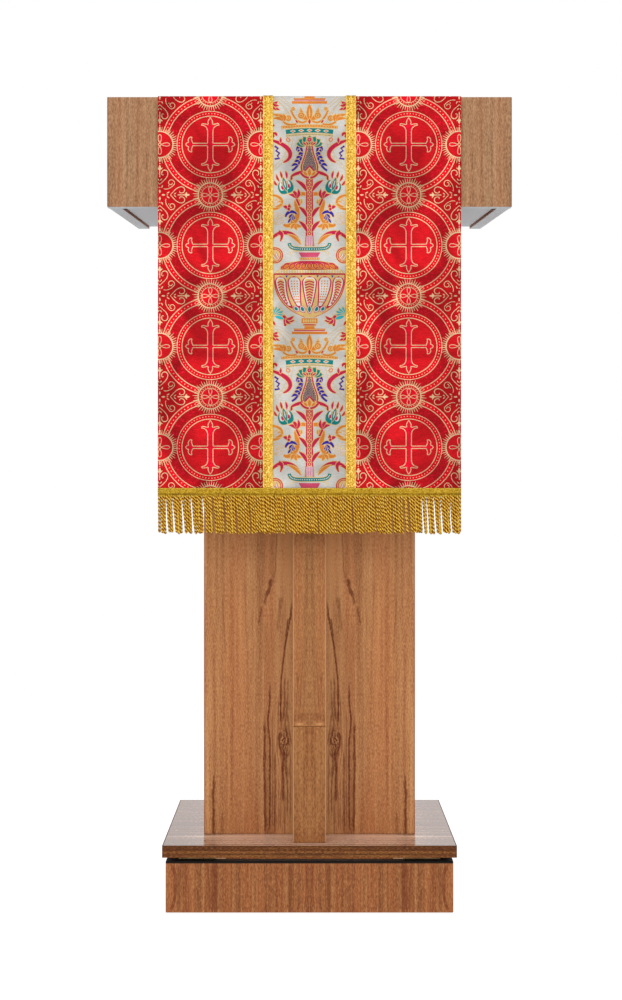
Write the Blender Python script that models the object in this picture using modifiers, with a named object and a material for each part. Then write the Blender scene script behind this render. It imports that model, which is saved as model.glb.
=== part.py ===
"""A panel-built wooden lectern with a sloping desk, dressed with a brocade veil.

Metres, +Z up. The congregation stands on the -Y side and the reader on the +Y side.
The origin is on the floor, under the middle of the base. Left is -X and right is +X.
"""

import math

import bmesh
import bpy

# ---------------------------------------------------------------- driving dimensions
GAP = 0.0003                # clearance kept between neighbouring solids
BOARD = 0.018               # thickness of the structural boards
EDGE_ROUND = 0.0008         # softening of the boards' edges

BASE_WIDTH = 0.440          # base board, over its edge bands
BASE_DEPTH = 0.400
BASE_TOP_Z = 0.103
EDGE_BAND = 0.001           # edge banding on the base board
SHADOW_GAP = 0.006          # open slit between the plinth and the base board
PLINTH_SETBACK = 0.005
PLINTH_BOTTOM_Z = 0.002
CORNER_BLOCK = 0.040
CROSS_RAIL_X = 0.150        # middle of each rail that carries a column side
GLIDE_RADIUS = 0.015
GLIDE_HEIGHT = 0.005

COLUMN_WIDTH = 0.325
COLUMN_FRONT_Y = -0.108
COLUMN_BACK_Y = 0.172
KICK_RAIL_HEIGHT = 0.060
CLEAT = 0.024               # side of the square fixing battens
SHELF_SETBACK = 0.004
FIXED_SHELF_Z = 0.740       # undersides of the two shelves
LOOSE_SHELF_Z = 0.430
PIN_RADIUS = 0.0025
PIN_LENGTH = 0.016
PIN_SET_BACK = 0.040        # shelf pins from the column's front and back
PIN_PITCH = 0.032
PIN_ROWS = (-1, 0, 1)       # bored heights, counted from the shelf's own
SCREW_RADIUS = 0.002
SCREW_HEAD_RADIUS = 0.004
SCREW_HEAD_HEIGHT = 0.0024
SCREW_BITE = 0.010          # length of a screw inside the head's bottom board
SCREW_Y = 0.080             # screws from the middle of a cleat

PILASTER_WIDTH = 0.050
PILASTER_FRONT_Y = -0.179
PILASTER_CHEEK = 0.012
PILASTER_CORE_DEPTH = 0.042
PILASTER_JOINT_Z = 0.278    # butt joint between the two lengths of its face

HEAD_WIDTH = 0.592
HEAD_HALF_DEPTH = 0.255
HEAD_LOW_Z = 1.048          # lower and upper edge of the front panel
HEAD_TOP_Z = 1.209
HEAD_SIDE = 0.019           # thickness of the head's side panels
UNDERSIDE_SLOPE = 0.067     # rise towards the reader, per metre of depth
DESK_SLOPE = math.tan(math.radians(9.0))
BOTTOM_RECESS = 0.004       # bottom board above the side panels' lower edges
BOOK_STOP_WIDTH = 0.020
BOOK_STOP_HEIGHT = 0.014
BOOK_STOP_ROUND = 0.003

VEIL_WIDTH = 0.443
GALLOON_WIDTH = 0.0146
GALLOON_X = 0.06065         # middle of each galloon, over a seam between two bands
FRONT_HEM_Z = 0.626
REAR_HEM_Z = 0.872
HEADER_HEIGHT = 0.0125      # braided heading of the fringe
HEADER_OVERHANG = 0.0015    # heading below the hem
FRINGE_LENGTH = 0.0545
FRINGE_THICK = 0.004
HEADER_THICK = 0.002
LINING_THICK = 0.0006
BAND_THICK = 0.0010
GALLOON_THICK = 0.0012
VEIL_LIFT_Y = 0.210         # where the veil leaves the desk to cross the book stop

# layers of the veil, as the distance from the wood to the middle of each
LINING_OFFSET = GAP + LINING_THICK / 2
BAND_OFFSET = LINING_OFFSET + (LINING_THICK + BAND_THICK) / 2 + GAP
GALLOON_OFFSET = BAND_OFFSET + (BAND_THICK + GALLOON_THICK) / 2 + GAP

# ---------------------------------------------------------------- derived places
BASE_LOW_Z = BASE_TOP_Z - BOARD
PLINTH_HALF_WIDTH = BASE_WIDTH / 2 - PLINTH_SETBACK
PLINTH_HALF_DEPTH = BASE_DEPTH / 2 - PLINTH_SETBACK
PLINTH_TOP_Z = BASE_LOW_Z - SHADOW_GAP
COLUMN_LOW_Z = BASE_TOP_Z + GAP
COLUMN_SIDE_FRONT_Y = COLUMN_FRONT_Y + BOARD + GAP
COLUMN_INNER_X = COLUMN_WIDTH / 2 - BOARD
HEAD_INNER_X = HEAD_WIDTH / 2 - HEAD_SIDE - GAP
HEAD_INNER_FRONT_Y = -HEAD_HALF_DEPTH + BOARD + GAP
REAR_RAIL_FRONT_Y = HEAD_HALF_DEPTH - BOARD
SIDES = (("left", -1), ("right", 1))
ENDS = (("front", -1), ("back", 1))

# base colour, roughness and metallic value of each kind of surface
FINISHES = {
    "column_wood": ((0.38, 0.16, 0.06), 0.38, 0.0),
    "head_wood": ((0.42, 0.21, 0.11), 0.38, 0.0),
    "plinth_wood": ((0.30, 0.11, 0.04), 0.38, 0.0),
    "edge_wood": ((0.16, 0.055, 0.022), 0.40, 0.0),
    "inner_wood": ((0.50, 0.36, 0.22), 0.65, 0.0),
    "nylon": ((0.03, 0.03, 0.03), 0.45, 0.0),
    "steel": ((0.62, 0.62, 0.60), 0.30, 1.0),
    "red_brocade": ((0.58, 0.01, 0.02), 0.45, 0.0),
    "ivory_brocade": ((0.68, 0.65, 0.56), 0.55, 0.0),
    "red_lining": ((0.45, 0.01, 0.02), 0.40, 0.0),
    "gold_braid": ((0.75, 0.42, 0.06), 0.45, 0.0),
}


# ---------------------------------------------------------------- surfaces of the head
def underside_z(y):
    """Lower edge of the head's side panels."""
    return HEAD_LOW_Z + UNDERSIDE_SLOPE * (y + HEAD_HALF_DEPTH)


def bottom_board_z(y):
    """Underside of the head's bottom board, where the column ends."""
    return underside_z(y) + BOTTOM_RECESS


def bottom_board_top_z(y):
    return bottom_board_z(y) + BOARD


def column_top_z(y):
    return bottom_board_z(y) - GAP


def desk_z(y):
    """Writing surface of the desk."""
    return HEAD_TOP_Z - DESK_SLOPE * (y + HEAD_HALF_DEPTH)


# ---------------------------------------------------------------- modelling helpers
def clear_scene():
    for thing in list(bpy.data.objects):
        bpy.data.objects.remove(thing, do_unlink=True)


def make_collection(name):
    collection = bpy.data.collections.new(name)
    bpy.context.scene.collection.children.link(collection)
    return collection


def make_material(name, finish):
    colour, roughness, metallic = FINISHES[finish]
    material = bpy.data.materials.new(name)
    material.use_nodes = True
    shader = material.node_tree.nodes["Principled BSDF"]
    shader.inputs["Base Color"].default_value = (*colour, 1.0)
    shader.inputs["Roughness"].default_value = roughness
    shader.inputs["Metallic"].default_value = metallic
    return material


def place(name, data, finish):
    """Put a mesh or curve in the lectern's collection, with a material of its own."""
    item = bpy.data.objects.new(name, data)
    data.materials.append(make_material(name, finish))
    PARTS.objects.link(item)
    return item


def add_bevel(item, width, segments=2):
    bevel = item.modifiers.new("Bevel", "BEVEL")
    bevel.width = width
    bevel.segments = segments
    bevel.limit_method = "ANGLE"
    bevel.angle_limit = math.radians(40.0)


def height_at(level, y):
    """A level is either a plain height or a slope that gives the height at y."""
    return level(y) if callable(level) else level


def slab(name, x_range, y_range, low, high, finish, rounding=EDGE_ROUND):
    """A board between two x, two y and two levels, either of which may slope along y."""
    x_low, x_high = sorted(x_range)
    mesh = bpy.data.meshes.new(name)
    shape = bmesh.new()
    bmesh.ops.create_cube(shape, size=1.0)
    for vertex in shape.verts:
        vertex.co.x = x_high if vertex.co.x > 0 else x_low
        vertex.co.y = y_range[1] if vertex.co.y > 0 else y_range[0]
        level = high if vertex.co.z > 0 else low
        vertex.co.z = height_at(level, vertex.co.y)
    shape.to_mesh(mesh)
    shape.free()
    item = place(name, mesh, finish)
    add_bevel(item, rounding)
    return item


def cylinder_mesh(name, radius, length, sides=24):
    """A capped cylinder along Z, standing on its own origin."""
    mesh = bpy.data.meshes.new(name)
    shape = bmesh.new()
    bmesh.ops.create_cone(
        shape, cap_ends=True, segments=sides, radius1=radius, radius2=radius, depth=length
    )
    bmesh.ops.translate(shape, verts=shape.verts, vec=(0.0, 0.0, length / 2))
    shape.to_mesh(mesh)
    shape.free()
    mesh.shade_smooth()
    mesh.set_sharp_from_angle(angle=math.radians(40.0))
    return mesh


def bore(target, name, radius, length, location, rotation=(0.0, 0.0, 0.0)):
    """Cut a round hole that starts at location and runs along the turned Z axis."""
    cutter = bpy.data.objects.new(name, cylinder_mesh(name, radius, length, sides=16))
    cutter.location = location
    cutter.rotation_euler = rotation
    cutter.hide_render = True
    cutter.display_type = "WIRE"
    CUTTERS.objects.link(cutter)
    cut = target.modifiers.new(name, "BOOLEAN")
    cut.operation = "DIFFERENCE"
    cut.solver = "EXACT"
    cut.object = cutter


# ---------------------------------------------------------------- base
def build_plinth():
    """Four panels, held by corner blocks that stand proud and carry the base board."""
    for end, toward in ENDS:
        outer = toward * PLINTH_HALF_DEPTH
        inner = toward * (PLINTH_HALF_DEPTH - BOARD)
        slab(f"plinth_{end}", (-PLINTH_HALF_WIDTH, PLINTH_HALF_WIDTH), sorted((outer, inner)),
             PLINTH_BOTTOM_Z, PLINTH_TOP_Z, "plinth_wood")
    reach = PLINTH_HALF_DEPTH - BOARD - GAP
    for side, sign in SIDES:
        slab(f"plinth_{side}", (sign * PLINTH_HALF_WIDTH, sign * (PLINTH_HALF_WIDTH - BOARD)),
             (-reach, reach), PLINTH_BOTTOM_Z, PLINTH_TOP_Z, "plinth_wood")
        rail_x = sign * CROSS_RAIL_X
        slab(f"cross_rail_{side}", (rail_x - BOARD / 2, rail_x + BOARD / 2), (-reach, reach),
             PLINTH_BOTTOM_Z + GLIDE_HEIGHT, BASE_LOW_Z - GAP, "inner_wood")


def build_feet():
    """A corner block in each corner of the plinth, with a nylon glide under it."""
    block_x = PLINTH_HALF_WIDTH - BOARD - GAP - CORNER_BLOCK / 2
    block_y = PLINTH_HALF_DEPTH - BOARD - GAP - CORNER_BLOCK / 2
    half = CORNER_BLOCK / 2
    # the blocks stay narrow in x, clear of the cross rails
    inner_x = CROSS_RAIL_X + BOARD / 2 + GAP
    for end, toward in ENDS:
        for side, sign in SIDES:
            corner = f"{end}_{side}"
            y = toward * block_y
            slab(f"corner_block_{corner}", (sign * inner_x, sign * (block_x + half)),
                 (y - half, y + half), GLIDE_HEIGHT + GAP, BASE_LOW_Z - GAP, "inner_wood")
            middle_x = sign * (inner_x + block_x + half) / 2
            glide = place(f"glide_{corner}",
                          cylinder_mesh(f"glide_{corner}", GLIDE_RADIUS, GLIDE_HEIGHT), "nylon")
            glide.location = (middle_x, y, 0.0)
            add_bevel(glide, EDGE_ROUND)


def build_base_board():
    """The board that the column stands on, edge-banded all round."""
    half_width = BASE_WIDTH / 2
    half_depth = BASE_DEPTH / 2
    core_x = half_width - EDGE_BAND - GAP
    core_y = half_depth - EDGE_BAND - GAP
    slab("base_board", (-core_x, core_x), (-core_y, core_y), BASE_LOW_Z, BASE_TOP_Z,
         "column_wood", rounding=GAP)
    for end, toward in ENDS:
        strip = sorted((toward * half_depth, toward * (half_depth - EDGE_BAND)))
        slab(f"base_edge_{end}", (-half_width, half_width), strip, BASE_LOW_Z, BASE_TOP_Z,
             "edge_wood", rounding=GAP)
    for side, sign in SIDES:
        slab(f"base_edge_{side}", (sign * half_width, sign * (half_width - EDGE_BAND)),
             (-core_y, core_y), BASE_LOW_Z, BASE_TOP_Z, "edge_wood", rounding=GAP)


# ---------------------------------------------------------------- column
def pin_ys():
    return (COLUMN_SIDE_FRONT_Y + PIN_SET_BACK, COLUMN_BACK_Y - PIN_SET_BACK)


def build_column_sides():
    """Two side panels, line-bored inside for the loose shelf's pins."""
    pin_z = LOOSE_SHELF_Z - PIN_RADIUS - GAP
    depth = PIN_LENGTH / 2 + GAP
    for side, sign in SIDES:
        panel = slab(f"column_{side}", (sign * COLUMN_WIDTH / 2, sign * COLUMN_INNER_X),
                     (COLUMN_SIDE_FRONT_Y, COLUMN_BACK_Y), COLUMN_LOW_Z, column_top_z,
                     "column_wood")
        start_x = sign * (COLUMN_INNER_X - GAP)
        for y in pin_ys():
            for row in PIN_ROWS:
                bore(panel, f"pin_bore_{side}", PIN_RADIUS + GAP, depth + GAP,
                     (start_x, y, pin_z + row * PIN_PITCH), (0.0, sign * math.pi / 2, 0.0))


def build_shelves():
    """A fixed shelf, a loose one on four pins, and the rail below the open back."""
    depth = (COLUMN_SIDE_FRONT_Y + GAP, COLUMN_BACK_Y - SHELF_SETBACK)
    inner = COLUMN_INNER_X - GAP
    for name, low in (("shelf_fixed", FIXED_SHELF_Z), ("shelf_loose", LOOSE_SHELF_Z)):
        slab(name, (-inner, inner), depth, low, low + BOARD, "column_wood")
    slab("kick_rail", (-inner, inner), (COLUMN_BACK_Y - SHELF_SETBACK - BOARD, depth[1]),
         COLUMN_LOW_Z, COLUMN_LOW_Z + KICK_RAIL_HEIGHT, "column_wood")
    pin_z = LOOSE_SHELF_Z - PIN_RADIUS - GAP
    for side, sign in SIDES:
        for end, y in zip(("front", "back"), pin_ys()):
            name = f"shelf_pin_{end}_{side}"
            pin = place(name, cylinder_mesh(name, PIN_RADIUS, PIN_LENGTH, sides=16), "steel")
            pin.rotation_euler = (0.0, sign * math.pi / 2, 0.0)
            pin.location = (sign * (COLUMN_INNER_X - PIN_LENGTH / 2), y, pin_z)


def screw_mesh(name, length):
    """A pan-head screw, turned about Z, with its head's underside at the origin."""
    profile = [
        (0.0, length),
        (SCREW_RADIUS, length - SCREW_RADIUS),
        (SCREW_RADIUS, 0.0),
        (SCREW_HEAD_RADIUS, 0.0),
        (SCREW_HEAD_RADIUS, -SCREW_HEAD_HEIGHT / 2),
        (SCREW_HEAD_RADIUS * 0.8, -SCREW_HEAD_HEIGHT * 0.9),
        (0.0, -SCREW_HEAD_HEIGHT),
    ]
    mesh = bpy.data.meshes.new(name)
    shape = bmesh.new()
    points = [shape.verts.new((radius, 0.0, z)) for radius, z in profile]
    for first, second in zip(points, points[1:]):
        shape.edges.new((first, second))
    shape.to_mesh(mesh)
    shape.free()
    return mesh


def add_turning(item, steps):
    turn = item.modifiers.new("Turn", "SCREW")
    turn.steps = steps
    turn.render_steps = steps
    turn.use_merge_vertices = True
    turn.merge_threshold = 0.00001
    turn.use_smooth_shade = True


def build_cleats(bottom_board):
    """Battens inside the column: the upper pair is screwed up into the head."""
    outer = COLUMN_INNER_X - GAP
    inner = outer - CLEAT
    y_low = COLUMN_SIDE_FRONT_Y + GAP
    y_high = COLUMN_BACK_Y - SHELF_SETBACK - BOARD - 2 * GAP
    middle_y = (y_low + y_high) / 2
    for side, sign in SIDES:
        x_range = (sign * outer, sign * inner)
        slab(f"base_cleat_{side}", x_range, (y_low, y_high), COLUMN_LOW_Z, COLUMN_LOW_Z + CLEAT,
             "inner_wood")
        low_z = column_top_z(y_low) - CLEAT
        cleat = slab(f"head_cleat_{side}", x_range, (y_low, y_high), low_z, column_top_z,
                     "inner_wood")
        for end, toward in ENDS:
            x = sign * (outer + inner) / 2
            y = middle_y + toward * SCREW_Y
            length = bottom_board_z(y) - low_z + SCREW_BITE
            for board, key in ((cleat, "cleat"), (bottom_board, "board")):
                bore(board, f"screw_bore_{key}_{end}_{side}", SCREW_RADIUS + GAP,
                     length + 3 * GAP, (x, y, low_z - GAP))
            name = f"head_screw_{end}_{side}"
            screw = place(name, screw_mesh(name, length), "steel")
            add_turning(screw, 20)
            screw.location = (x, y, low_z - GAP)


def build_column():
    half = COLUMN_WIDTH / 2
    slab("column_front", (-half, half), (COLUMN_FRONT_Y, COLUMN_FRONT_Y + BOARD),
         COLUMN_LOW_Z, column_top_z, "column_wood")
    build_column_sides()
    build_shelves()


def build_pilaster():
    """The boxed fin in front of the column: two cheeks, a core and a face in two lengths."""
    half = PILASTER_WIDTH / 2
    face = (PILASTER_FRONT_Y, PILASTER_FRONT_Y + BOARD)
    slab("pilaster_lower", (-half, half), face, COLUMN_LOW_Z, PILASTER_JOINT_Z - GAP / 2,
         "column_wood")
    slab("pilaster_upper", (-half, half), face, PILASTER_JOINT_Z + GAP / 2, column_top_z,
         "column_wood")
    back_y = COLUMN_FRONT_Y - GAP
    for side, sign in SIDES:
        slab(f"pilaster_cheek_{side}", (sign * half, sign * (half - PILASTER_CHEEK)),
             (face[1] + GAP, back_y), COLUMN_LOW_Z, column_top_z, "column_wood")
    core = half - PILASTER_CHEEK - GAP
    slab("pilaster_core", (-core, core), (back_y - PILASTER_CORE_DEPTH, back_y),
         COLUMN_LOW_Z, column_top_z, "inner_wood")


# ---------------------------------------------------------------- head
def build_head():
    """The wedge-shaped box under the desk. Returns its bottom board."""
    half = HEAD_WIDTH / 2
    slab("head_front", (-half, half), (-HEAD_HALF_DEPTH, -HEAD_HALF_DEPTH + BOARD),
         HEAD_LOW_Z, desk_z, "head_wood")
    for side, sign in SIDES:
        slab(f"head_{side}", (sign * half, sign * (half - HEAD_SIDE)),
             (HEAD_INNER_FRONT_Y, HEAD_HALF_DEPTH), underside_z, desk_z, "head_wood")
    across = (-HEAD_INNER_X, HEAD_INNER_X)
    bottom = slab("head_bottom", across, (HEAD_INNER_FRONT_Y, HEAD_HALF_DEPTH),
                  bottom_board_z, bottom_board_top_z, "head_wood")
    slab("head_rear_rail", across, (REAR_RAIL_FRONT_Y, HEAD_HALF_DEPTH),
         lambda y: bottom_board_top_z(y) + GAP, desk_z, "head_wood")
    slab("desk_board", across, (HEAD_INNER_FRONT_Y, REAR_RAIL_FRONT_Y - GAP),
         lambda y: desk_z(y) - BOARD, desk_z, "head_wood")
    slab("book_stop", (-half, half), (HEAD_HALF_DEPTH - BOOK_STOP_WIDTH, HEAD_HALF_DEPTH),
         lambda y: desk_z(y) + GAP, lambda y: desk_z(y) + BOOK_STOP_HEIGHT, "head_wood",
         rounding=BOOK_STOP_ROUND)
    return bottom


# ---------------------------------------------------------------- veil
def corner_arc(corner, from_angle, to_angle, radius, steps=5):
    """Points and normals round a convex edge, from one face's normal angle to the next's.

    The arc touches both faces, so its centre is set in from the corner along their bisector.
    """
    middle = (from_angle + to_angle) / 2
    inset = radius / math.cos((from_angle - to_angle) / 2)
    centre = (corner[0] - inset * math.cos(middle), corner[1] - inset * math.sin(middle))
    result = []
    for step in range(steps + 1):
        angle = from_angle + (to_angle - from_angle) * step / steps
        normal = (math.cos(angle), math.sin(angle))
        point = (centre[0] + radius * normal[0], centre[1] + radius * normal[1])
        result.append((point, normal))
    return result


def book_stop_lift(y):
    """Height of the veil over the desk's plane as it climbs on to the book stop."""
    stop_y = HEAD_HALF_DEPTH - BOOK_STOP_WIDTH
    part = min(max((y - VEIL_LIFT_Y) / (stop_y - VEIL_LIFT_Y), 0.0), 1.0)
    return BOOK_STOP_HEIGHT * part * part * (3.0 - 2.0 * part)


def veil_profile(front_end_z, rear_end_z):
    """The veil's way over the head in the YZ plane: surface points with their normals."""
    slope_angle = math.pi / 2 - math.atan(DESK_SLOPE)
    front_edge = (-HEAD_HALF_DEPTH, HEAD_TOP_Z)
    rear_edge = (HEAD_HALF_DEPTH, desk_z(HEAD_HALF_DEPTH) + BOOK_STOP_HEIGHT)
    way = [((-HEAD_HALF_DEPTH, front_end_z), (-1.0, 0.0))]
    way += corner_arc(front_edge, math.pi, slope_angle, radius=0.001)
    climb_steps = 8
    stop_y = HEAD_HALF_DEPTH - BOOK_STOP_WIDTH
    for step in range(climb_steps + 1):
        y = VEIL_LIFT_Y + (stop_y - VEIL_LIFT_Y) * step / climb_steps
        delta = 0.0005
        rise = (desk_z(y + delta) + book_stop_lift(y + delta)
                - desk_z(y - delta) - book_stop_lift(y - delta)) / (2 * delta)
        length = math.hypot(1.0, rise)
        way.append(((y, desk_z(y) + book_stop_lift(y)), (-rise / length, 1.0 / length)))
    way += corner_arc(rear_edge, slope_angle, 0.0, radius=BOOK_STOP_ROUND)
    way.append(((HEAD_HALF_DEPTH, rear_end_z), (1.0, 0.0)))
    return way


def ribbon(name, x_range, offset, thickness, ends_z, finish):
    """A strip of cloth between two x, laid over the head at an offset from the wood."""
    x_low, x_high = sorted(x_range)
    curve = bpy.data.curves.new(name, "CURVE")
    curve.dimensions = "2D"
    curve.fill_mode = "NONE"
    curve.extrude = (x_high - x_low) / 2
    way = veil_profile(*ends_z)
    spline = curve.splines.new("POLY")
    spline.points.add(len(way) - 1)
    for point, (place_on, normal) in zip(spline.points, way):
        y = place_on[0] + offset * normal[0]
        z = place_on[1] + offset * normal[1]
        point.co = (y, z, 0.0, 1.0)
    item = place(name, curve, finish)
    # the curve's own x, y and z lie along the frame's y, z and x
    item.rotation_euler = (math.pi / 2, 0.0, math.pi / 2)
    item.location.x = (x_low + x_high) / 2
    solid = item.modifiers.new("Thickness", "SOLIDIFY")
    solid.thickness = thickness
    solid.offset = 0.0
    solid.use_even_offset = True


def build_veil():
    """Three brocade bands on a lining, with a galloon over each of the two seams."""
    half = VEIL_WIDTH / 2
    hems = (FRONT_HEM_Z, REAR_HEM_Z)
    ribbon("veil_lining", (-half, half), LINING_OFFSET, LINING_THICK, hems, "red_lining")
    seam = GALLOON_X - GAP / 2
    ribbon("veil_band_centre", (-seam, seam), BAND_OFFSET, BAND_THICK, hems, "ivory_brocade")
    lifted = tuple(hem - HEADER_OVERHANG + HEADER_HEIGHT + GAP for hem in hems)
    for side, sign in SIDES:
        ribbon(f"veil_band_{side}", (sign * (seam + GAP), sign * half), BAND_OFFSET, BAND_THICK,
               hems, "red_brocade")
        middle = sign * GALLOON_X
        ribbon(f"galloon_{side}", (middle - GALLOON_WIDTH / 2, middle + GALLOON_WIDTH / 2),
               GALLOON_OFFSET, GALLOON_THICK, lifted, "gold_braid")


def build_fringes():
    """A bullion fringe under each hem, hanging from a braided heading."""
    half = VEIL_WIDTH / 2
    face = HEAD_HALF_DEPTH + BAND_OFFSET + BAND_THICK / 2 + GAP
    for end, toward, hem in (("front", -1, FRONT_HEM_Z), ("rear", 1, REAR_HEM_Z)):
        low = hem - HEADER_OVERHANG
        slab(f"{end}_heading", (-half, half),
             sorted((toward * face, toward * (face + HEADER_THICK))),
             low, low + HEADER_HEIGHT, "gold_braid", rounding=GAP)
        middle = toward * (face + (HEADER_THICK - FRINGE_THICK) / 2)
        slab(f"{end}_fringe", (-half, half),
             (middle - FRINGE_THICK / 2, middle + FRINGE_THICK / 2),
             low - GAP - FRINGE_LENGTH, low - GAP, "gold_braid", rounding=GAP)


clear_scene()
PARTS = make_collection("lectern")
CUTTERS = make_collection("cutters")
build_plinth()
build_feet()
build_base_board()
build_column()
build_pilaster()
build_cleats(build_head())
build_veil()
build_fringes()
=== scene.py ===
"""The looks of a wooden lectern with a brocade veil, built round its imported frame.

Metres, +Z up. The congregation is at -Y and the reader at +Y; left is -X.
"""
import math
import random
from functools import partial, reduce

import bpy
import numpy as np
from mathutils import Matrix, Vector
from mathutils.geometry import delaunay_2d_cdt


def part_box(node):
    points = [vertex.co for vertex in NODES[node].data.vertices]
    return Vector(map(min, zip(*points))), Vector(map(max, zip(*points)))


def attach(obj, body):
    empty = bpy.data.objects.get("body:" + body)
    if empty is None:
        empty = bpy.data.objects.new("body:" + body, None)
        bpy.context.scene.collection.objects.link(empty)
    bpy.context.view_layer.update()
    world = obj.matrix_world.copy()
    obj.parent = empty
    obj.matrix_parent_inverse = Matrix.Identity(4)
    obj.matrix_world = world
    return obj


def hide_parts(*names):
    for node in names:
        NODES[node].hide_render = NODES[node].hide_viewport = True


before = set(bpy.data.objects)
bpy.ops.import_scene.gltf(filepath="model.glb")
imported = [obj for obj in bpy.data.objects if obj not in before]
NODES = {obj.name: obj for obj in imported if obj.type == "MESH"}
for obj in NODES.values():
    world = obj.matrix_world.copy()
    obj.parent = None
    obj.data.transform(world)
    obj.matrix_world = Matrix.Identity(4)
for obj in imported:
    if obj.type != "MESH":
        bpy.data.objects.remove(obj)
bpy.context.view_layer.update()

# ---------------------------------------------------------------- sizes, from the frame
FRONT_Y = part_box("head_front")[0].y
HEAD_TOP_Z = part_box("head_front")[1].z
HEAD_LOW_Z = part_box("head_front")[0].z
REAR_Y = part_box("book_stop")[1].y
REAR_LOW_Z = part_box("head_rear_rail")[0].z
STOP_FRONT_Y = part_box("book_stop")[0].y
DESK_SLOPE = math.tan(math.radians(9.0))
STOP_HEIGHT = 0.014
STOP_ROUND = 0.003
DESK_ROUND = 0.0015                   # the desk's front edge
LIFT_Y = 0.210                        # where the veil leaves the desk for the book stop
VEIL_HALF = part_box("veil_lining")[1].x
FRONT_HEM_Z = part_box("veil_band_centre")[0].z
REAR_HEM_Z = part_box("rear_heading")[0].z + FRONT_HEM_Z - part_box("front_heading")[0].z
SEAM_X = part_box("veil_band_centre")[1].x
GALLOON_X = sum(corner.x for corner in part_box("galloon_right")) / 2
GALLOON_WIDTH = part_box("galloon_right")[1].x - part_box("galloon_right")[0].x
HEADING_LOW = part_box("front_heading")[0].z - FRONT_HEM_Z     # below the hem
HEADING_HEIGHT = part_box("front_heading")[1].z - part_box("front_heading")[0].z
FRINGE_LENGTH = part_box("front_fringe")[1].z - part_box("front_fringe")[0].z
PILASTER_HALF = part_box("pilaster_upper")[1].x
COLUMN_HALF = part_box("column_front")[1].x
HEAD_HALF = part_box("head_front")[1].x
PLINTH_TOP_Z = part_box("plinth_front")[1].z

# layers of the veil, as distances from the wood
LINING_LIFT = 0.0006
LINING_HALF = 0.0002                  # half of the lining's own thickness
BAND_LIFT = 0.0017
GALLOON_LIFT = 0.0026
HEADING_LIFT = 0.0030
EDGE_TURN = 0.0008                    # depth of a band's turned-in edge
BRAID_TURN = 0.0006                   # depth of a braid's turned-down edge
SEAM_GAP = 0.0003                     # between the ivory band and each red one
SWEEP_STEP = 0.009                    # spacing of the cloth's rows and columns

MM = 0.001
TURN = 2 * math.pi
RED_REPEAT = 0.1475
RED_CROSS_Z = 1.139                   # middle of the topmost cross on the front hang
RED_X = 0.1450                        # middle of each red band's pattern
IVORY_REPEAT = 0.337
IVORY_FOOT_Z = 1.1984                 # foot of the topmost urn on the front hang


# ---------------------------------------------------------------- colour
def srgb(red, green, blue):
    """A linear colour from 0 to 255 display values."""
    return tuple(
        (c / 12.92 if c <= 0.04045 else ((c + 0.055) / 1.055) ** 2.4)
        for c in (red / 255, green / 255, blue / 255)
    )


def opaque(colour):
    """The colour with an alpha of 1, as sockets take it."""
    return (*colour, 1.0)


def yarn(red, green, blue, metal=0.0):
    """An ink of the woven figures: a colour and how metallic its yarn is."""
    return (*srgb(red, green, blue), metal)


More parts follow.
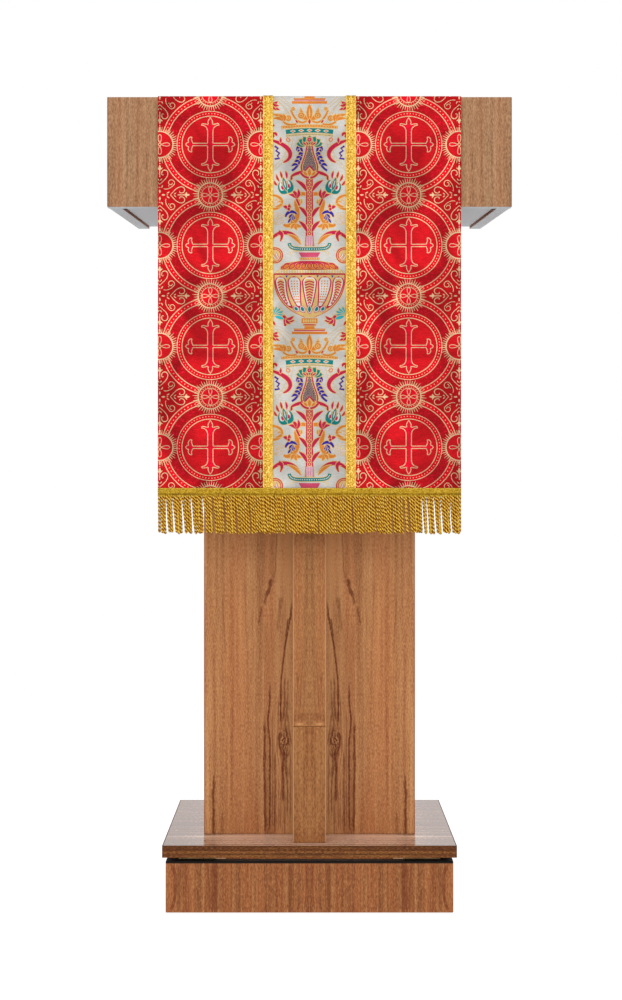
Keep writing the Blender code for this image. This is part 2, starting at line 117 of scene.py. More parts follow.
# ---------------------------------------------------------------- node building
class Nodes:
    """One material's node tree. A value may be a number or another node's socket."""

    def __init__(self, name, **constants):
        self.material = bpy.data.materials.new(name)
        self.material.use_nodes = True
        self.tree = self.material.node_tree
        self.shader = self.tree.nodes["Principled BSDF"]
        for key, value in constants.items():
            self.shader.inputs[key.replace("_", " ")].default_value = value

    def plug(self, socket, value):
        """Link or set one socket."""
        if isinstance(value, bpy.types.NodeSocket):
            self.tree.links.new(value, socket)
        else:
            socket.default_value = value

    def add(self, kind, settings=None, **inputs):
        """A new node; an input's name has _ for each space."""
        node = self.tree.nodes.new(kind)
        for key, value in (settings or {}).items():
            setattr(node, key, value)
        for key, value in inputs.items():
            self.plug(node.inputs[key.replace("_", " ")], value)
        return node

    def math(self, operation, first, second=0.0, third=0.0):
        node = self.add("ShaderNodeMath", {"operation": operation})
        for socket, value in zip(node.inputs, (first, second, third)):
            self.plug(socket, value)
        return node.outputs[0]

    def plus(self, *values):
        return reduce(partial(self.math, "ADD"), values)

    def times(self, *values):
        return reduce(partial(self.math, "MULTIPLY"), values)

    def most(self, *values):
        return reduce(partial(self.math, "MAXIMUM"), values)

    def scaled(self, value, factor, shift):
        """value times factor, plus shift."""
        return self.math("MULTIPLY_ADD", value, factor, shift)

    def smooth(self, value, low, high, to_low=0.0, to_high=1.0):
        """value taken smoothly from the range low..high to the range to_low..to_high."""
        node = self.add("ShaderNodeMapRange", {"interpolation_type": "SMOOTHSTEP"},
                        Value=value, From_Min=low, From_Max=high, To_Min=to_low, To_Max=to_high)
        return node.outputs["Result"]

    def mix(self, factor, first, second, blend="MIX"):
        node = self.add("ShaderNodeMix", {"data_type": "RGBA", "blend_type": blend})
        for index, value in ((0, factor), (6, first), (7, second)):
            self.plug(node.inputs[index], value)
        return node.outputs[2]

    def place(self):
        """The place of the shaded point in its own object."""
        return self.add("ShaderNodeTexCoord").outputs["Object"]

    def split(self, vector):
        outputs = self.add("ShaderNodeSeparateXYZ", Vector=vector).outputs
        return outputs["X"], outputs["Y"], outputs["Z"]

    def join(self, x, y, z):
        return self.add("ShaderNodeCombineXYZ", X=x, Y=y, Z=z).outputs["Vector"]

    def noise(self, vector, stretch, shift=(0.0, 0.0, 0.0), detail=2.0, roughness=0.5,
              distortion=0.0):
        """Fractal noise about 0.5, finer along an axis the larger its stretch."""
        vector = self.add("ShaderNodeMapping", Vector=vector, Scale=stretch, Location=shift)
        return self.add("ShaderNodeTexNoise", Vector=vector.outputs["Vector"], Scale=1.0,
                        Detail=detail, Roughness=roughness, Distortion=distortion).outputs["Fac"]

    def ramp(self, value, *stops):
        """stops are (position, colour)."""
        node = self.add("ShaderNodeValToRGB", Fac=value)
        marks = node.color_ramp.elements
        while len(marks) < len(stops):
            marks.new(1.0)
        for mark, (position, colour) in zip(marks, stops):
            mark.position = position
            mark.color = opaque(colour)
        return node.outputs["Color"]

    def attribute(self, name):
        return self.add("ShaderNodeAttribute", {"attribute_name": name}).outputs

    def bump(self, height, distance, strength):
        return self.add("ShaderNodeBump", Height=height, Distance=distance,
                        Strength=strength).outputs["Normal"]

    def finish(self, **sockets):
        """Plug the shader's own sockets and hand over the material."""
        for key, value in sockets.items():
            self.plug(self.shader.inputs[key.replace("_", " ")], value)
        return self.material


# ---------------------------------------------------------------- wood
COLUMN_TONES = (srgb(127, 72, 41), srgb(172, 117, 73), srgb(201, 148, 97))
HEAD_TONES = (srgb(114, 76, 48), srgb(162, 121, 87), srgb(193, 152, 115))
PLINTH_TONES = (srgb(86, 42, 20), srgb(140, 86, 49), srgb(180, 126, 78))
PILASTER_TONES = (srgb(120, 73, 40), srgb(160, 108, 65), srgb(186, 135, 86))
PILASTER_LOW_TONES = (srgb(108, 63, 32), srgb(150, 99, 57), srgb(176, 124, 76))
EDGE_TONES = (srgb(24, 9, 3), srgb(92, 51, 21), srgb(166, 116, 60))
TOP_TONES = (srgb(116, 82, 64), srgb(152, 113, 90), srgb(252, 220, 194))
INNER_TONES = (srgb(150, 118, 80), srgb(190, 158, 116), srgb(208, 182, 142))
VEIN_TONE = srgb(94, 36, 13)
FOXY = (1.04, 0.92, 0.88)             # tint of the redder streaks
PAINTED_UNDERSIDE_REFLECTION = srgb(186, 196, 203)       # painted reflection on faces that look down under the head
SHADE_LINE_COLOUR = srgb(4, 2, 1)                # painted shade line under the base board
# how far the painted shade line reaches below the plinth's top
SHADE_LINE_DEPTH = 0.0032


def grain(g, place, axis, shift, fineness):
    """Tone about 0.5 from broad bands, veins, fibres and flecks drawn out along one axis."""
    def drawn(across, along, **look):
        stretch = [across * fineness] * 3
        stretch[axis] = along
        return g.noise(place, stretch, shift, **look)

    layers = (
        # noise, weight
        (drawn(26.0, 1.1, detail=3.0, roughness=0.55, distortion=0.5), 0.26),
        (drawn(130.0, 2.6, detail=3.0, roughness=0.6, distortion=0.25), 0.66),
        (drawn(460.0, 60.0, roughness=0.65), 0.34),
        (drawn(640.0, 230.0, detail=1.0), 0.66),
    )
    tone = 0.5 - 0.5 * sum(weight for _, weight in layers)
    for layer, weight in layers:
        tone = g.scaled(layer, weight, tone)
    warmth = g.smooth(drawn(60.0, 2.0), 0.38, 0.62)
    return tone, layers[2][0], warmth


def wood(name, tones, axis, shift, figure=None, roughness=0.50, sheen=0.11, fineness=1.0,
         edge_line=None, under=None, shade_line_z=None):
    """Satin wood-grain laminate, book-matched about x = 0, with its grain along one axis.

    figure may bend the grain, add a board's own dark marks and lift its tone, in places as painted
    light. edge_line is (half width, line width, colour) for a thin line down a front face's long
    edges; the pilaster's pale one is a painted highlight. under is the colour of a painted
    reflection on faces that look down, and shade_line_z the height above which a board is painted
    in deep shade.
    """
    g = Nodes(name, Specular_IOR_Level=sheen)
    x, y, z = g.split(g.place())
    half = g.math("ABSOLUTE", x)
    bent, marks, lift = figure(g, half, z) if figure else (half, 0.0, 0.0)
    tone, fibres, warmth = grain(g, g.join(bent, y, z), axis, shift, fineness)
    colour = g.ramp(g.plus(tone, lift), *zip((0.20, 0.50, 0.80), tones))
    colour = g.mix(g.times(warmth, 0.75), colour, opaque(FOXY), "MULTIPLY")
    colour = g.mix(marks, colour, opaque(VEIN_TONE))
    _, ahead, down = g.split(g.add("ShaderNodeNewGeometry").outputs["Normal"])
    if edge_line:
        at, width, line = edge_line
        near = g.times(g.smooth(half, at - width, at - width * 0.4),
                       g.smooth(ahead, -0.45, -0.25, 0.7, 0.0))
        colour = g.mix(near, colour, opaque(line))
    # painted reflection: faces that look down take the under colour
    if under:
        colour = g.mix(g.smooth(down, -0.8, -0.6, 0.9, 0.0), colour, opaque(under))
    # painted shade: near-black above shade_line_z
    if shade_line_z:
        colour = g.mix(g.smooth(z, shade_line_z - 0.0012, shade_line_z + 0.0006), colour, opaque(SHADE_LINE_COLOUR))
    return g.finish(Base_Color=colour, Roughness=g.scaled(fibres, 0.12, roughness - 0.06),
                    Normal=g.bump(fibres, 0.00008, 0.6))


CURVE_SCALE = 5.0                     # a vein's curve holds x times this, to fill 0 to 1


def vein(g, x, z, wander, spread, way, width, depth):
    """A dark line through the (x, z) points of way, from the top down, faded at its ends."""
    node = g.add("ShaderNodeFloatCurve", Value=z)
    points = node.mapping.curves[0].points
    while len(points) < len(way):
        points.new(0.5, 0.5)
    for point, (at_x, at_z) in zip(points, reversed(way)):
        point.location = (at_z * MM, at_x * MM * CURVE_SCALE)
    node.mapping.update()
    middle = g.scaled(node.outputs[0], 1 / CURVE_SCALE, wander)
    away = g.times(g.math("ABSOLUTE", g.math("SUBTRACT", x, middle)), spread)
    top, bottom = way[0][1] * MM, way[-1][1] * MM
    fade = (top - bottom) * 0.12
    return g.times(g.smooth(away, width * MM * 0.35, width * MM, depth, 0.0),
                   g.smooth(z, top - fade, top, 1.0, 0.0),
                   g.smooth(z, bottom - 0.002, bottom + min(fade, 0.02)))


def draw_veins(g, x, z, veins):
    """The strongest of all the veins at each point, ragged in width and broken up in length."""
    place = g.join(x, 0.0, z)
    wander = g.scaled(g.noise(place, (60.0, 1.0, 26.0)), 0.0026, -0.0013)
    ragged = g.noise(place, (240.0, 1.0, 70.0), roughness=0.7)
    spread = g.smooth(ragged, 0.32, 0.66, 0.65, 1.30)
    marks = 0.0
    for way, width, depth in veins:
        marks = g.most(vein(g, x, z, wander, spread, way, width, depth), marks)
    broken = g.noise(place, (600.0, 1.0, 150.0), roughness=0.7)
    return g.times(marks, g.smooth(broken, 0.34, 0.56, 0.55, 1.0))


def patch(g, x, z, centre, radii, strength):
    """A soft oval spot."""
    across = g.math("DIVIDE", g.math("SUBTRACT", x, centre[0]), radii[0])
    along = g.math("DIVIDE", g.math("SUBTRACT", z, centre[1]), radii[1])
    away = g.math("SQRT", g.scaled(along, along, g.times(across, across)))
    return g.smooth(away, 0.3, 1.0, strength, 0.0)


KNOT = (0.0385, 0.247)                # on the column's front, mirrored about x = 0
KNOT_RADIUS = 0.0066
DARK_SPOTS = (
    # centre, radii, strength, on the column's front
    ((0.0385, 0.218), (0.0130, 0.050), 0.84), ((0.0400, 0.290), (0.0130, 0.055), 0.74),
    ((0.0440, 0.440), (0.0110, 0.060), 0.34), ((0.0480, 0.150), (0.0200, 0.150), 0.36),
)
COLUMN_VEINS = (
    # (x, z) points from the top down and half width, in mm; strength
    (((26.2, 470), (28.2, 446), (33.3, 416), (38.8, 384), (42.4, 350), (44.4, 310),
      (43.6, 268)), 1.9, 0.92),
    (((32.5, 436), (34.5, 420), (36.2, 404)), 2.6, 0.8),
    (((33, 345), (34, 305), (39.5, 262)), 1.3, 0.6),
    (((37.2, 350), (38.5, 300), (35.5, 264), (29, 236)), 1.5, 0.62),
    (((33.5, 290), (31, 262), (26.2, 238)), 1.2, 0.5),
    (((48, 320), (47.8, 280), (50, 245), (47, 205)), 1.4, 0.46),
    (((43.2, 262), (47.2, 250), (44, 232), (39.8, 218)), 2.2, 0.82),
    (((39.5, 236), (40.5, 216), (40.8, 180), (40.2, 150)), 2.6, 0.86),
    (((35.2, 238), (36.2, 216), (34.5, 180), (34.2, 130)), 1.9, 0.66),
    (((30, 238), (29.6, 200), (29.8, 120)), 1.6, 0.5),
    (((60.8, 345), (61.8, 300), (63.6, 276), (61.8, 250), (61.2, 180), (61, 100)), 2, 0.94),
    (((69, 285), (69.2, 240), (68.8, 160), (67.6, 100)), 2.6, 0.92),
    (((53.6, 232), (53.2, 200), (53.2, 160), (53.6, 100)), 2.1, 0.62),
    (((46.8, 190), (47.2, 140), (47.6, 100)), 1.1, 0.34),
    (((49.9, 590), (51.2, 545), (53.1, 510), (57.6, 490)), 1.2, 0.44),
    (((59.2, 497), (60.6, 486), (65.2, 474), (66.8, 468)), 4, 0.86),
    (((64, 480), (67.2, 468), (69, 456)), 2.4, 0.7),
    (((74.2, 454), (76.2, 440), (79, 426)), 2, 0.56),
    (((43.3, 470), (46.2, 444), (49.2, 414)), 3.6, 0.4),
    (((57, 300), (57.4, 240), (57, 170), (57.4, 110)), 1.1, 0.5),
    (((42.4, 205), (44, 160), (44.2, 105)), 1.3, 0.48),
    (((37.2, 170), (38, 130), (37.6, 100)), 1.4, 0.5),
    (((100, 500), (98.5, 440), (97, 380)), 1.2, 0.26),
    (((134.5, 470), (132, 430), (130, 380)), 1.2, 0.3),
    (((147, 200), (148.2, 160), (148.2, 120), (147.6, 80)), 2.6, 0.86),
    (((134.5, 135), (135, 120), (134.5, 104)), 1.4, 0.5),
)
PILASTER_VEINS = (
    (((4, 420), (6, 350), (10.8, 284)), 1.4, 0.3),
    (((10, 390), (13, 330), (17, 284)), 1.2, 0.28),
    (((18, 360), (19, 320), (23.6, 280)), 1.8, 0.34),
    (((7.5, 240), (8, 200), (8.4, 140)), 1.4, 0.28),
    (((19, 220), (20, 170), (20, 100)), 1.2, 0.24),
)
PLINTH_VEINS = (
    (((142, 79), (142.5, 50), (141, 2)), 7, 0.52),
    (((153, 79), (150, 40), (149, 2)), 2.4, 0.5),
    (((208, 79), (208.5, 40), (209, 2)), 3.6, 0.66),
    (((196, 79), (195, 40), (196.5, 2)), 4, 0.48),
    (((184, 79), (185, 40), (185.5, 2)), 2.2, 0.36),
    (((86, 79), (88, 40), (88, 2)), 2.2, 0.3),
    (((29, 79), (30, 50), (31, 2)), 4, 0.3),
    (((6, 79), (5, 40), (8, 2)), 1.4, 0.44),
)


def column_figure(g, x, z):
    """Grain parted round a knot, a darker strip, veins, and painted light by the pilaster and veil.
    """
    across = g.math("SUBTRACT", x, KNOT[0])
    along = g.times(g.math("SUBTRACT", z, KNOT[1]), 0.42)
    square = g.scaled(along, along, g.times(across, across))
    parted = g.math("DIVIDE", 1.6 * KNOT_RADIUS ** 2, g.plus(square, KNOT_RADIUS ** 2))
    bent = g.scaled(across, g.math("SUBTRACT", 1.0, parted), KNOT[0])

    curly = g.noise(g.join(x, 0.0, z), (300.0, 1.0, 130.0), detail=3.0, roughness=0.75,
                    distortion=1.4)
    knot = g.times(g.smooth(curly, 0.43, 0.55), patch(g, x, z, KNOT, (0.0135, 0.026), 0.92))
    streaks = g.noise(g.join(bent, 0.0, z), (520.0, 1.0, 34.0), detail=3.0, roughness=0.7)
    ragged = g.times(g.most(*(patch(g, x, z, *spot) for spot in DARK_SPOTS)),
                     g.smooth(streaks, 0.47, 0.60))
    strip = g.times(g.smooth(x, 0.0500, 0.0620, 0.11, 0.19),
                    g.smooth(x, 0.0698, 0.0706, 1.0, 0.0), g.smooth(z, 0.41, 0.45, 1.0, 0.0))
    shoulder = g.times(g.smooth(x, 0.0500, 0.0520, 0.0, 0.14), g.smooth(z, 0.48, 0.50),
                       g.smooth(x, 0.056, 0.082, 1.0, 0.0))
    marks = draw_veins(g, x, z, COLUMN_VEINS)
    for layer in (knot, ragged, strip, shoulder):
        marks = g.plus(g.times(layer, g.math("SUBTRACT", 1.0, marks)), marks)
    specks = g.times(g.smooth(curly, 0.40, 0.47, 0.36, 0.0),
                     patch(g, x, z, KNOT, (0.0080, 0.014), 1.0))
    # painted light: lifts the tone beside the pilaster and below the veil, against the shade there
    pale = g.plus(g.smooth(x, 0.030, 0.085, 0.20, 0.0), g.smooth(z, 0.40, 0.60, 0.0, 0.10))
    return bent, marks, g.plus(specks, pale)


def veined(veins):
    """A board with straight grain and veins of its own."""
    def figure(g, x, z):
        return x, draw_veins(g, x, z, veins), 0.0
    return figure


def pilaster_figure(g, x, z):
    """The upper face of the pilaster, shaded above its joint, with a pale smudge on it."""
    shade = patch(g, x, z, (0.0120, 0.2925), (0.0150, 0.0100), 0.34)
    marks = g.most(draw_veins(g, x, z, PILASTER_VEINS[:3]), shade)
    return x, marks, patch(g, x, z, (0.0150, 0.2815), (0.0085, 0.0030), 0.30)


def base_top_painted_reflection(g, x, _z):
    """Painted reflection: paler in the middle, where the column is mirrored, darker at its ends."""
    return x, 0.0, g.smooth(x, 0.11, 0.21, 0.22, -0.10)


def paint(material, *names):
    """Give CAD nodes, which keep their shape, a finished material."""
    for name in names:
        slots = NODES[name].material_slots
        if slots:
            slots[0].link = "OBJECT"
            slots[0].material = material
        else:
            NODES[name].data.materials.append(material)


def sides(name):
    """A node's left and right copies."""
    return (f"{name}_left", f"{name}_right")


def corners(name):
    """A node's four copies, one at each corner."""
    return tuple(f"{name}_{end}_{side}" for end in ("front", "back") for side in ("left", "right"))


def paint_wood():
    """Every board, batten and block, in the wood of its place."""
    dark = srgb(120, 52, 26)
    # painted highlight down the pilaster's rounded edges, partly the cheeks' own paler edge
    fin_edge_highlight = {"edge_line": (PILASTER_HALF, 0.0018, srgb(194, 150, 114))}
    # the plinth's top few millimetres are painted near-black, a painted shade line under the base
    # board
    plinth = {"fineness": 1.6, "shade_line_z": PLINTH_TOP_Z - SHADE_LINE_DEPTH}
    boards = (
        # material, tones, the grain's axis and shift, the rest of its look, nodes
        ("column_front_wood", COLUMN_TONES, 2, (4.3, 3.1, 0.4),
         {"figure": column_figure, "edge_line": (COLUMN_HALF, 0.0015, dark)}, ["column_front"]),
        ("column_side_wood", COLUMN_TONES, 2, (5.0, 1.7, 2.2), {}, sides("column")),
        ("pilaster_wood", PILASTER_TONES, 2, (2.0, 6.4, 1.3), {"figure": pilaster_figure, **fin_edge_highlight},
         ["pilaster_upper", *sides("pilaster_cheek")]),
        ("pilaster_lower_wood", PILASTER_LOW_TONES, 2, (9.0, 2.2, 7.5),
         {"figure": veined(PILASTER_VEINS[3:]), **fin_edge_highlight}, ["pilaster_lower"]),
        ("plinth_wood", PLINTH_TONES, 2, (1.0, 4.4, 8.6),
         {"figure": veined(PLINTH_VEINS), **plinth}, ["plinth_front", "plinth_back"]),
        ("plinth_side_wood", PLINTH_TONES, 2, (4.0, 0.4, 6.6), plinth, sides("plinth")),
        ("base_top_wood", TOP_TONES, 0, (3.0, 2.0, 1.0),
         {"roughness": 0.19, "sheen": 0.62, "figure": base_top_painted_reflection}, ["base_board"]),
        ("base_edge_wood", EDGE_TONES, 0, (7.0, 0.0, 5.0), {"fineness": 2.0},
         ["base_edge_front", "base_edge_back"]),
        ("base_edge_side_wood", EDGE_TONES, 1, (7.0, 0.0, 5.0), {"fineness": 2.0},
         sides("base_edge")),
        ("head_front_wood", HEAD_TONES, 2, (6.0, 5.0, 4.0),
         {"under": PAINTED_UNDERSIDE_REFLECTION, "edge_line": (HEAD_HALF, 0.0014, dark)}, ["head_front"]),
        ("head_side_wood", HEAD_TONES, 1, (6.0, 1.0, 4.0), {"under": PAINTED_UNDERSIDE_REFLECTION}, sides("head")),
        ("head_board_wood", HEAD_TONES, 0, (2.0, 8.0, 3.0), {"under": PAINTED_UNDERSIDE_REFLECTION},
         ["head_bottom", "desk_board", "book_stop", "head_rear_rail"]),
        ("shelf_wood", COLUMN_TONES, 0, (1.0, 9.0, 2.0), {},
         ["shelf_fixed", "shelf_loose", "kick_rail"]),
        ("batten_wood", INNER_TONES, 1, (3.0, 1.0, 7.0), {"roughness": 0.6},
         [*sides("cross_rail"), *sides("base_cleat"), *sides("head_cleat")]),
        ("block_wood", INNER_TONES, 2, (8.0, 1.0, 3.0), {"roughness": 0.6},
         [*corners("corner_block"), "pilaster_core"]),
    )
    for name, tones, axis, shift, look, nodes in boards:
        paint(wood(name, tones, axis, shift, **look), *nodes)


# ---------------------------------------------------------------- fittings
def nylon():
    """Black plastic with a fine grain."""
    g = Nodes("moulded_nylon")
    grain_and_glint = g.noise(g.place(), (900.0, 900.0, 900.0))
    colour = g.ramp(grain_and_glint, (0.3, srgb(28, 28, 29)), (0.7, srgb(44, 44, 45)))
    return g.finish(Base_Color=colour, Roughness=g.scaled(grain_and_glint, 0.2, 0.4),
                    Normal=g.bump(grain_and_glint, 0.00005, 0.5))


def zinc():
    """Bright zinc-plated steel."""
    g = Nodes("zinc_plate", Metallic=1.0)
    brushed = g.noise(g.place(), (600.0, 600.0, 2600.0))
    colour = g.ramp(brushed, (0.3, srgb(172, 174, 172)), (0.7, srgb(206, 206, 200)))
    return g.finish(Base_Color=colour, Roughness=g.scaled(brushed, 0.25, 0.2))


def paint_fittings():
    """The glides, the loose shelf's pins and the head's screws."""
    paint(nylon(), *corners("glide"))
    paint(zinc(), *corners("shelf_pin"), *corners("head_screw"))


# ---------------------------------------------------------------- the veil's way
def arc_round(corner, from_angle, to_angle, radius, steps):
    """Points and normals round a convex edge, from one face's normal angle to the next's."""
    middle = (from_angle + to_angle) / 2
    inset = radius / math.cos((from_angle - to_angle) / 2)
    centre = (corner[0] - inset * math.cos(middle), corner[1] - inset * math.sin(middle))
    way = []
    for angle in np.linspace(from_angle, to_angle, steps + 1):
        normal = (math.cos(angle), math.sin(angle))
        way.append((centre[0] + radius * normal[0], centre[1] + radius * normal[1], *normal))
    return way


def desk_z(y):
    """Height of the desk's top."""
    return HEAD_TOP_Z - DESK_SLOPE * (y - FRONT_Y)


def over_stop_z(y):
    """Height of the cloth as it climbs from the desk on to the book stop."""
    part = min(max((y - LIFT_Y) / (STOP_FRONT_Y - LIFT_Y), 0.0), 1.0)
    return desk_z(y) + STOP_HEIGHT * part * part * (3.0 - 2.0 * part)


def veil_way():
    """Rows of y, z and the outward normal, from the front hem over the desk to the rear hem."""
    slope = math.pi / 2 - math.atan(DESK_SLOPE)
    way = [(FRONT_Y, FRONT_HEM_Z, -1.0, 0.0)]
    way += arc_round((FRONT_Y, HEAD_TOP_Z), math.pi, slope, DESK_ROUND, 8)
    delta = 0.0005
    for y in np.linspace(LIFT_Y, STOP_FRONT_Y, 10):
        rise = (over_stop_z(y + delta) - over_stop_z(y - delta)) / (2 * delta)
        length = math.hypot(1.0, rise)
        way.append((y, over_stop_z(y), -rise / length, 1.0 / length))
    rear_top = desk_z(REAR_Y) + STOP_HEIGHT
    way += arc_round((REAR_Y, rear_top), slope, 0.0, STOP_ROUND, 6)
    way.append((REAR_Y, REAR_HEM_Z, 1.0, 0.0))
    return np.array(way)


WAY = veil_way()
WAY_S = np.concatenate(([0.0], np.cumsum(np.hypot(*np.diff(WAY[:, :2], axis=0).T))))
VEIL_LENGTH = WAY_S[-1]
S_HEAD_LOW = HEAD_LOW_Z - FRONT_HEM_Z
S_REAR_LOW = VEIL_LENGTH - (REAR_LOW_Z - REAR_HEM_Z)


def slackness(s):
    """0 where the veil lies on the wood, rising to 1 at either hem."""
    front = np.clip((S_HEAD_LOW - s) / S_HEAD_LOW, 0.0, 1.0)
    rear = np.clip((s - S_REAR_LOW) / (VEIL_LENGTH - S_REAR_LOW), 0.0, 1.0)
    return np.maximum(front, rear * 0.8)


def drape(x, s):
    """How far the cloth stands off its straight way: soft folds that open towards the hems."""
    slack = slackness(s)
    folds = (0.45 * np.sin(TURN * x / 0.205 + 0.9 + 1.8 * slack)
             + 0.32 * np.sin(TURN * x / 0.121 - 1.1 + 9.0 * s)
             + 0.16 * np.sin(TURN * x / 0.068 + 0.4 - 15.0 * s))
    lean = (np.sin(TURN * (0.82 * x + 0.57 * s) / 0.088 + 1.3 * np.sin(TURN * s / 0.31))
            + np.sin(TURN * (0.75 * x - 0.66 * s) / 0.113 + 0.7 + np.sin(TURN * x / 0.27)))
    flat = np.exp(-((s - WAY_S[1]) / 0.012) ** 2) + np.exp(-((s - WAY_S[-2]) / 0.02) ** 2)
    rest = 0.0012 * (1.0 - np.clip(flat, 0.0, 1.0))
    return rest * (0.75 + 0.35 * lean) + (0.0004 + 0.0034 * slack ** 1.3) * folds * slack ** 0.3


def on_veil(x, s, lift):
    """Points of the frame at x across and s along the veil, lift above the wood."""
    x, s = np.broadcast_arrays(np.asarray(x, float), np.asarray(s, float))
    y, z, across, up = (np.interp(s, WAY_S, WAY[:, k]) for k in range(4))
    length = np.hypot(across, up)
    off = lift + drape(x, s)
    below = np.minimum(s, 0.0) + np.minimum(VEIL_LENGTH - s, 0.0)
    return np.stack((x, y + off * across / length, z + off * up / length + below), axis=-1)


# ---------------------------------------------------------------- mesh building
def new_piece(name, points, faces, material, node):
    """A smooth piece that stands for one of the CAD's nodes."""
    mesh = bpy.data.meshes.new(name)
    mesh.from_pydata([tuple(p) for p in points], [], [tuple(f) for f in faces])
    mesh.update()
    mesh.shade_smooth()
    mesh.materials.append(material)
    piece = bpy.data.objects.new(name, mesh)
    bpy.context.scene.collection.objects.link(piece)
    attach(piece, "root")
    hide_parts(node)
    return piece


def grid_faces(rows, columns, closed=False):
    """Quads of a grid of rows by columns of points, counted row by row."""
    row, column = np.meshgrid(np.arange(rows - 1), np.arange(columns if closed else columns - 1),
                              indexing="ij")
    first = (row * columns + column).ravel()
    second = (row * columns + (column + 1) % columns).ravel()
    return np.stack((first, second, second + columns, first + columns), axis=1)


def give_cloth_place(mesh, across, along):
    """Each point's place on the flat cloth, in metres, for the weave."""
    place = mesh.attributes.new("cloth", "FLOAT_VECTOR", "POINT")
    flat = np.stack((across, along, np.zeros_like(across)), axis=1)
    place.data.foreach_set("vector", flat.astype(np.float32).ravel())


def even_rows(start, end, step=SWEEP_STEP):
    """Places along the veil, step apart, with a row wherever its way bends."""
    rows = np.linspace(start, end, max(2, round((end - start) / step) + 1))
    bends = WAY_S[1:-1]
    near = np.abs(rows[:, None] - bends[None, :]).min(axis=1) < step * 0.3
    near[0] = near[-1] = False
    kept = bends[(bends > start + 0.001) & (bends < end - 0.001)]
    return np.unique(np.concatenate((rows[~near], kept)))


# ---------------------------------------------------------------- woven figures
class Figure:
    """Woven motifs as flat polygons (across, along) in mm, each in an ink, later ones on top."""

    def __init__(self, mirror=False):
        self.polygons = []
        self.inks = []
        self.mirror = mirror

    def polygon(self, points, ink):
        """Keep a polygon, turned anticlockwise, and its mirror image if the figure has one."""
        points = np.asarray(points, float)
        x, y = points.T
        if np.sum(x * np.roll(y, -1) - y * np.roll(x, -1)) < 0:
            points = points[::-1]
        self.polygons.append(points)
        self.inks.append(ink)
        if self.mirror:
            self.polygons.append((points * (-1.0, 1.0))[::-1])
            self.inks.append(ink)

    def disc(self, centre, radius, ink, count=24, squash=1.0):
        angles = np.arange(count) * TURN / count
        self.polygon(np.stack((centre[0] + radius * np.cos(angles),
                               centre[1] + radius * squash * np.sin(angles)), axis=1), ink)

    def beads(self, centre, radius, count, size, ink):
        """A ring of small eight-sided discs."""
        for angle in (np.arange(count) + 0.5) * TURN / count:
            self.disc((centre[0] + radius * math.cos(angle), centre[1] + radius * math.sin(angle)),
                      size, ink, 8)

    def stroke(self, points, widths, ink):
        """A drawn line as a row of quads; widths is one half width or one for each point."""
        points = np.asarray(points, float)
        widths = np.broadcast_to(np.asarray(widths, float), len(points))
        way = np.gradient(points, axis=0)
        way /= np.maximum(np.linalg.norm(way, axis=1), 1e-9)[:, None]
        side = np.stack((-way[:, 1], way[:, 0]), axis=1) * np.maximum(widths, 0.08)[:, None]
        left, right = points + side, points - side
        for k in range(len(points) - 1):
            quad = np.array((left[k], right[k], right[k + 1], left[k + 1]))
            spokes = quad - quad.mean(axis=0)
            self.polygon(quad[np.argsort(np.arctan2(spokes[:, 1], spokes[:, 0]))], ink)

    def leaf(self, base, tip, width, ink, bend=0.0, count=7):
        """A pointed leaf from base to tip, width wide at its middle, bent sideways."""
        base, tip = np.asarray(base, float), np.asarray(tip, float)
        part = np.linspace(0.0, 1.0, count)[:, None]
        axis = tip - base
        normal = np.array((-axis[1], axis[0]))
        spine = base + part * axis + bend * np.sin(part * math.pi) * normal
        half = width / 2 * np.sin(part * math.pi) ** 0.8
        side = half * normal / np.linalg.norm(normal)
        outline = np.concatenate((spine + side, (spine - side)[1:-1][::-1]))
        self.polygon(outline, ink)

    def take(self, other):
        self.polygons += other.polygons
        self.inks += other.inks

    def tiled(self, across, first, pitch):
        """The motifs in metres, repeated along the whole veil, the first repeat at first."""
        copy = Figure()
        for start in np.arange(first, VEIL_LENGTH, pitch):
            copy.polygons += [points * MM + (across, start) for points in self.polygons]
            copy.inks += self.inks
        return copy


def curve(*controls, count=12):
    """Points of a Bezier curve through the first and last of its control points."""
    part = np.linspace(0.0, 1.0, count)
    order = len(controls) - 1
    return sum(math.comb(order, k) * np.outer(part ** k * (1 - part) ** (order - k), controls[k])
               for k in range(order + 1))


def path(*parts):
    """Curves joined end to end, each given as its number of points and its control points."""
    return np.concatenate([curve(*controls, count=count) for count, *controls in parts])


def spiral(centre, start_radius, end_radius, start_angle, turns, count):
    """Points that wind round centre from start_angle in degrees; turns may be negative."""
    part = np.linspace(0.0, 1.0, count)
    angle = np.radians(start_angle) + part * turns * TURN
    radius = start_radius + (end_radius - start_radius) * part
    return np.stack((centre[0] + radius * np.cos(angle), centre[1] + radius * np.sin(angle)), 1)


def taper(count, thick, thin=0.3):
    """Half widths that swell in the middle of a stroke."""
    return thin + (thick - thin) * np.sin(np.linspace(0.0, math.pi, count)) ** 0.7


def turned(points, quarter):
    """Points turned by quarter turns."""
    angle = quarter * math.pi / 2
    spin = np.array(((math.cos(angle), math.sin(angle)), (-math.sin(angle), math.cos(angle))))
    return np.asarray(points, float) @ spin


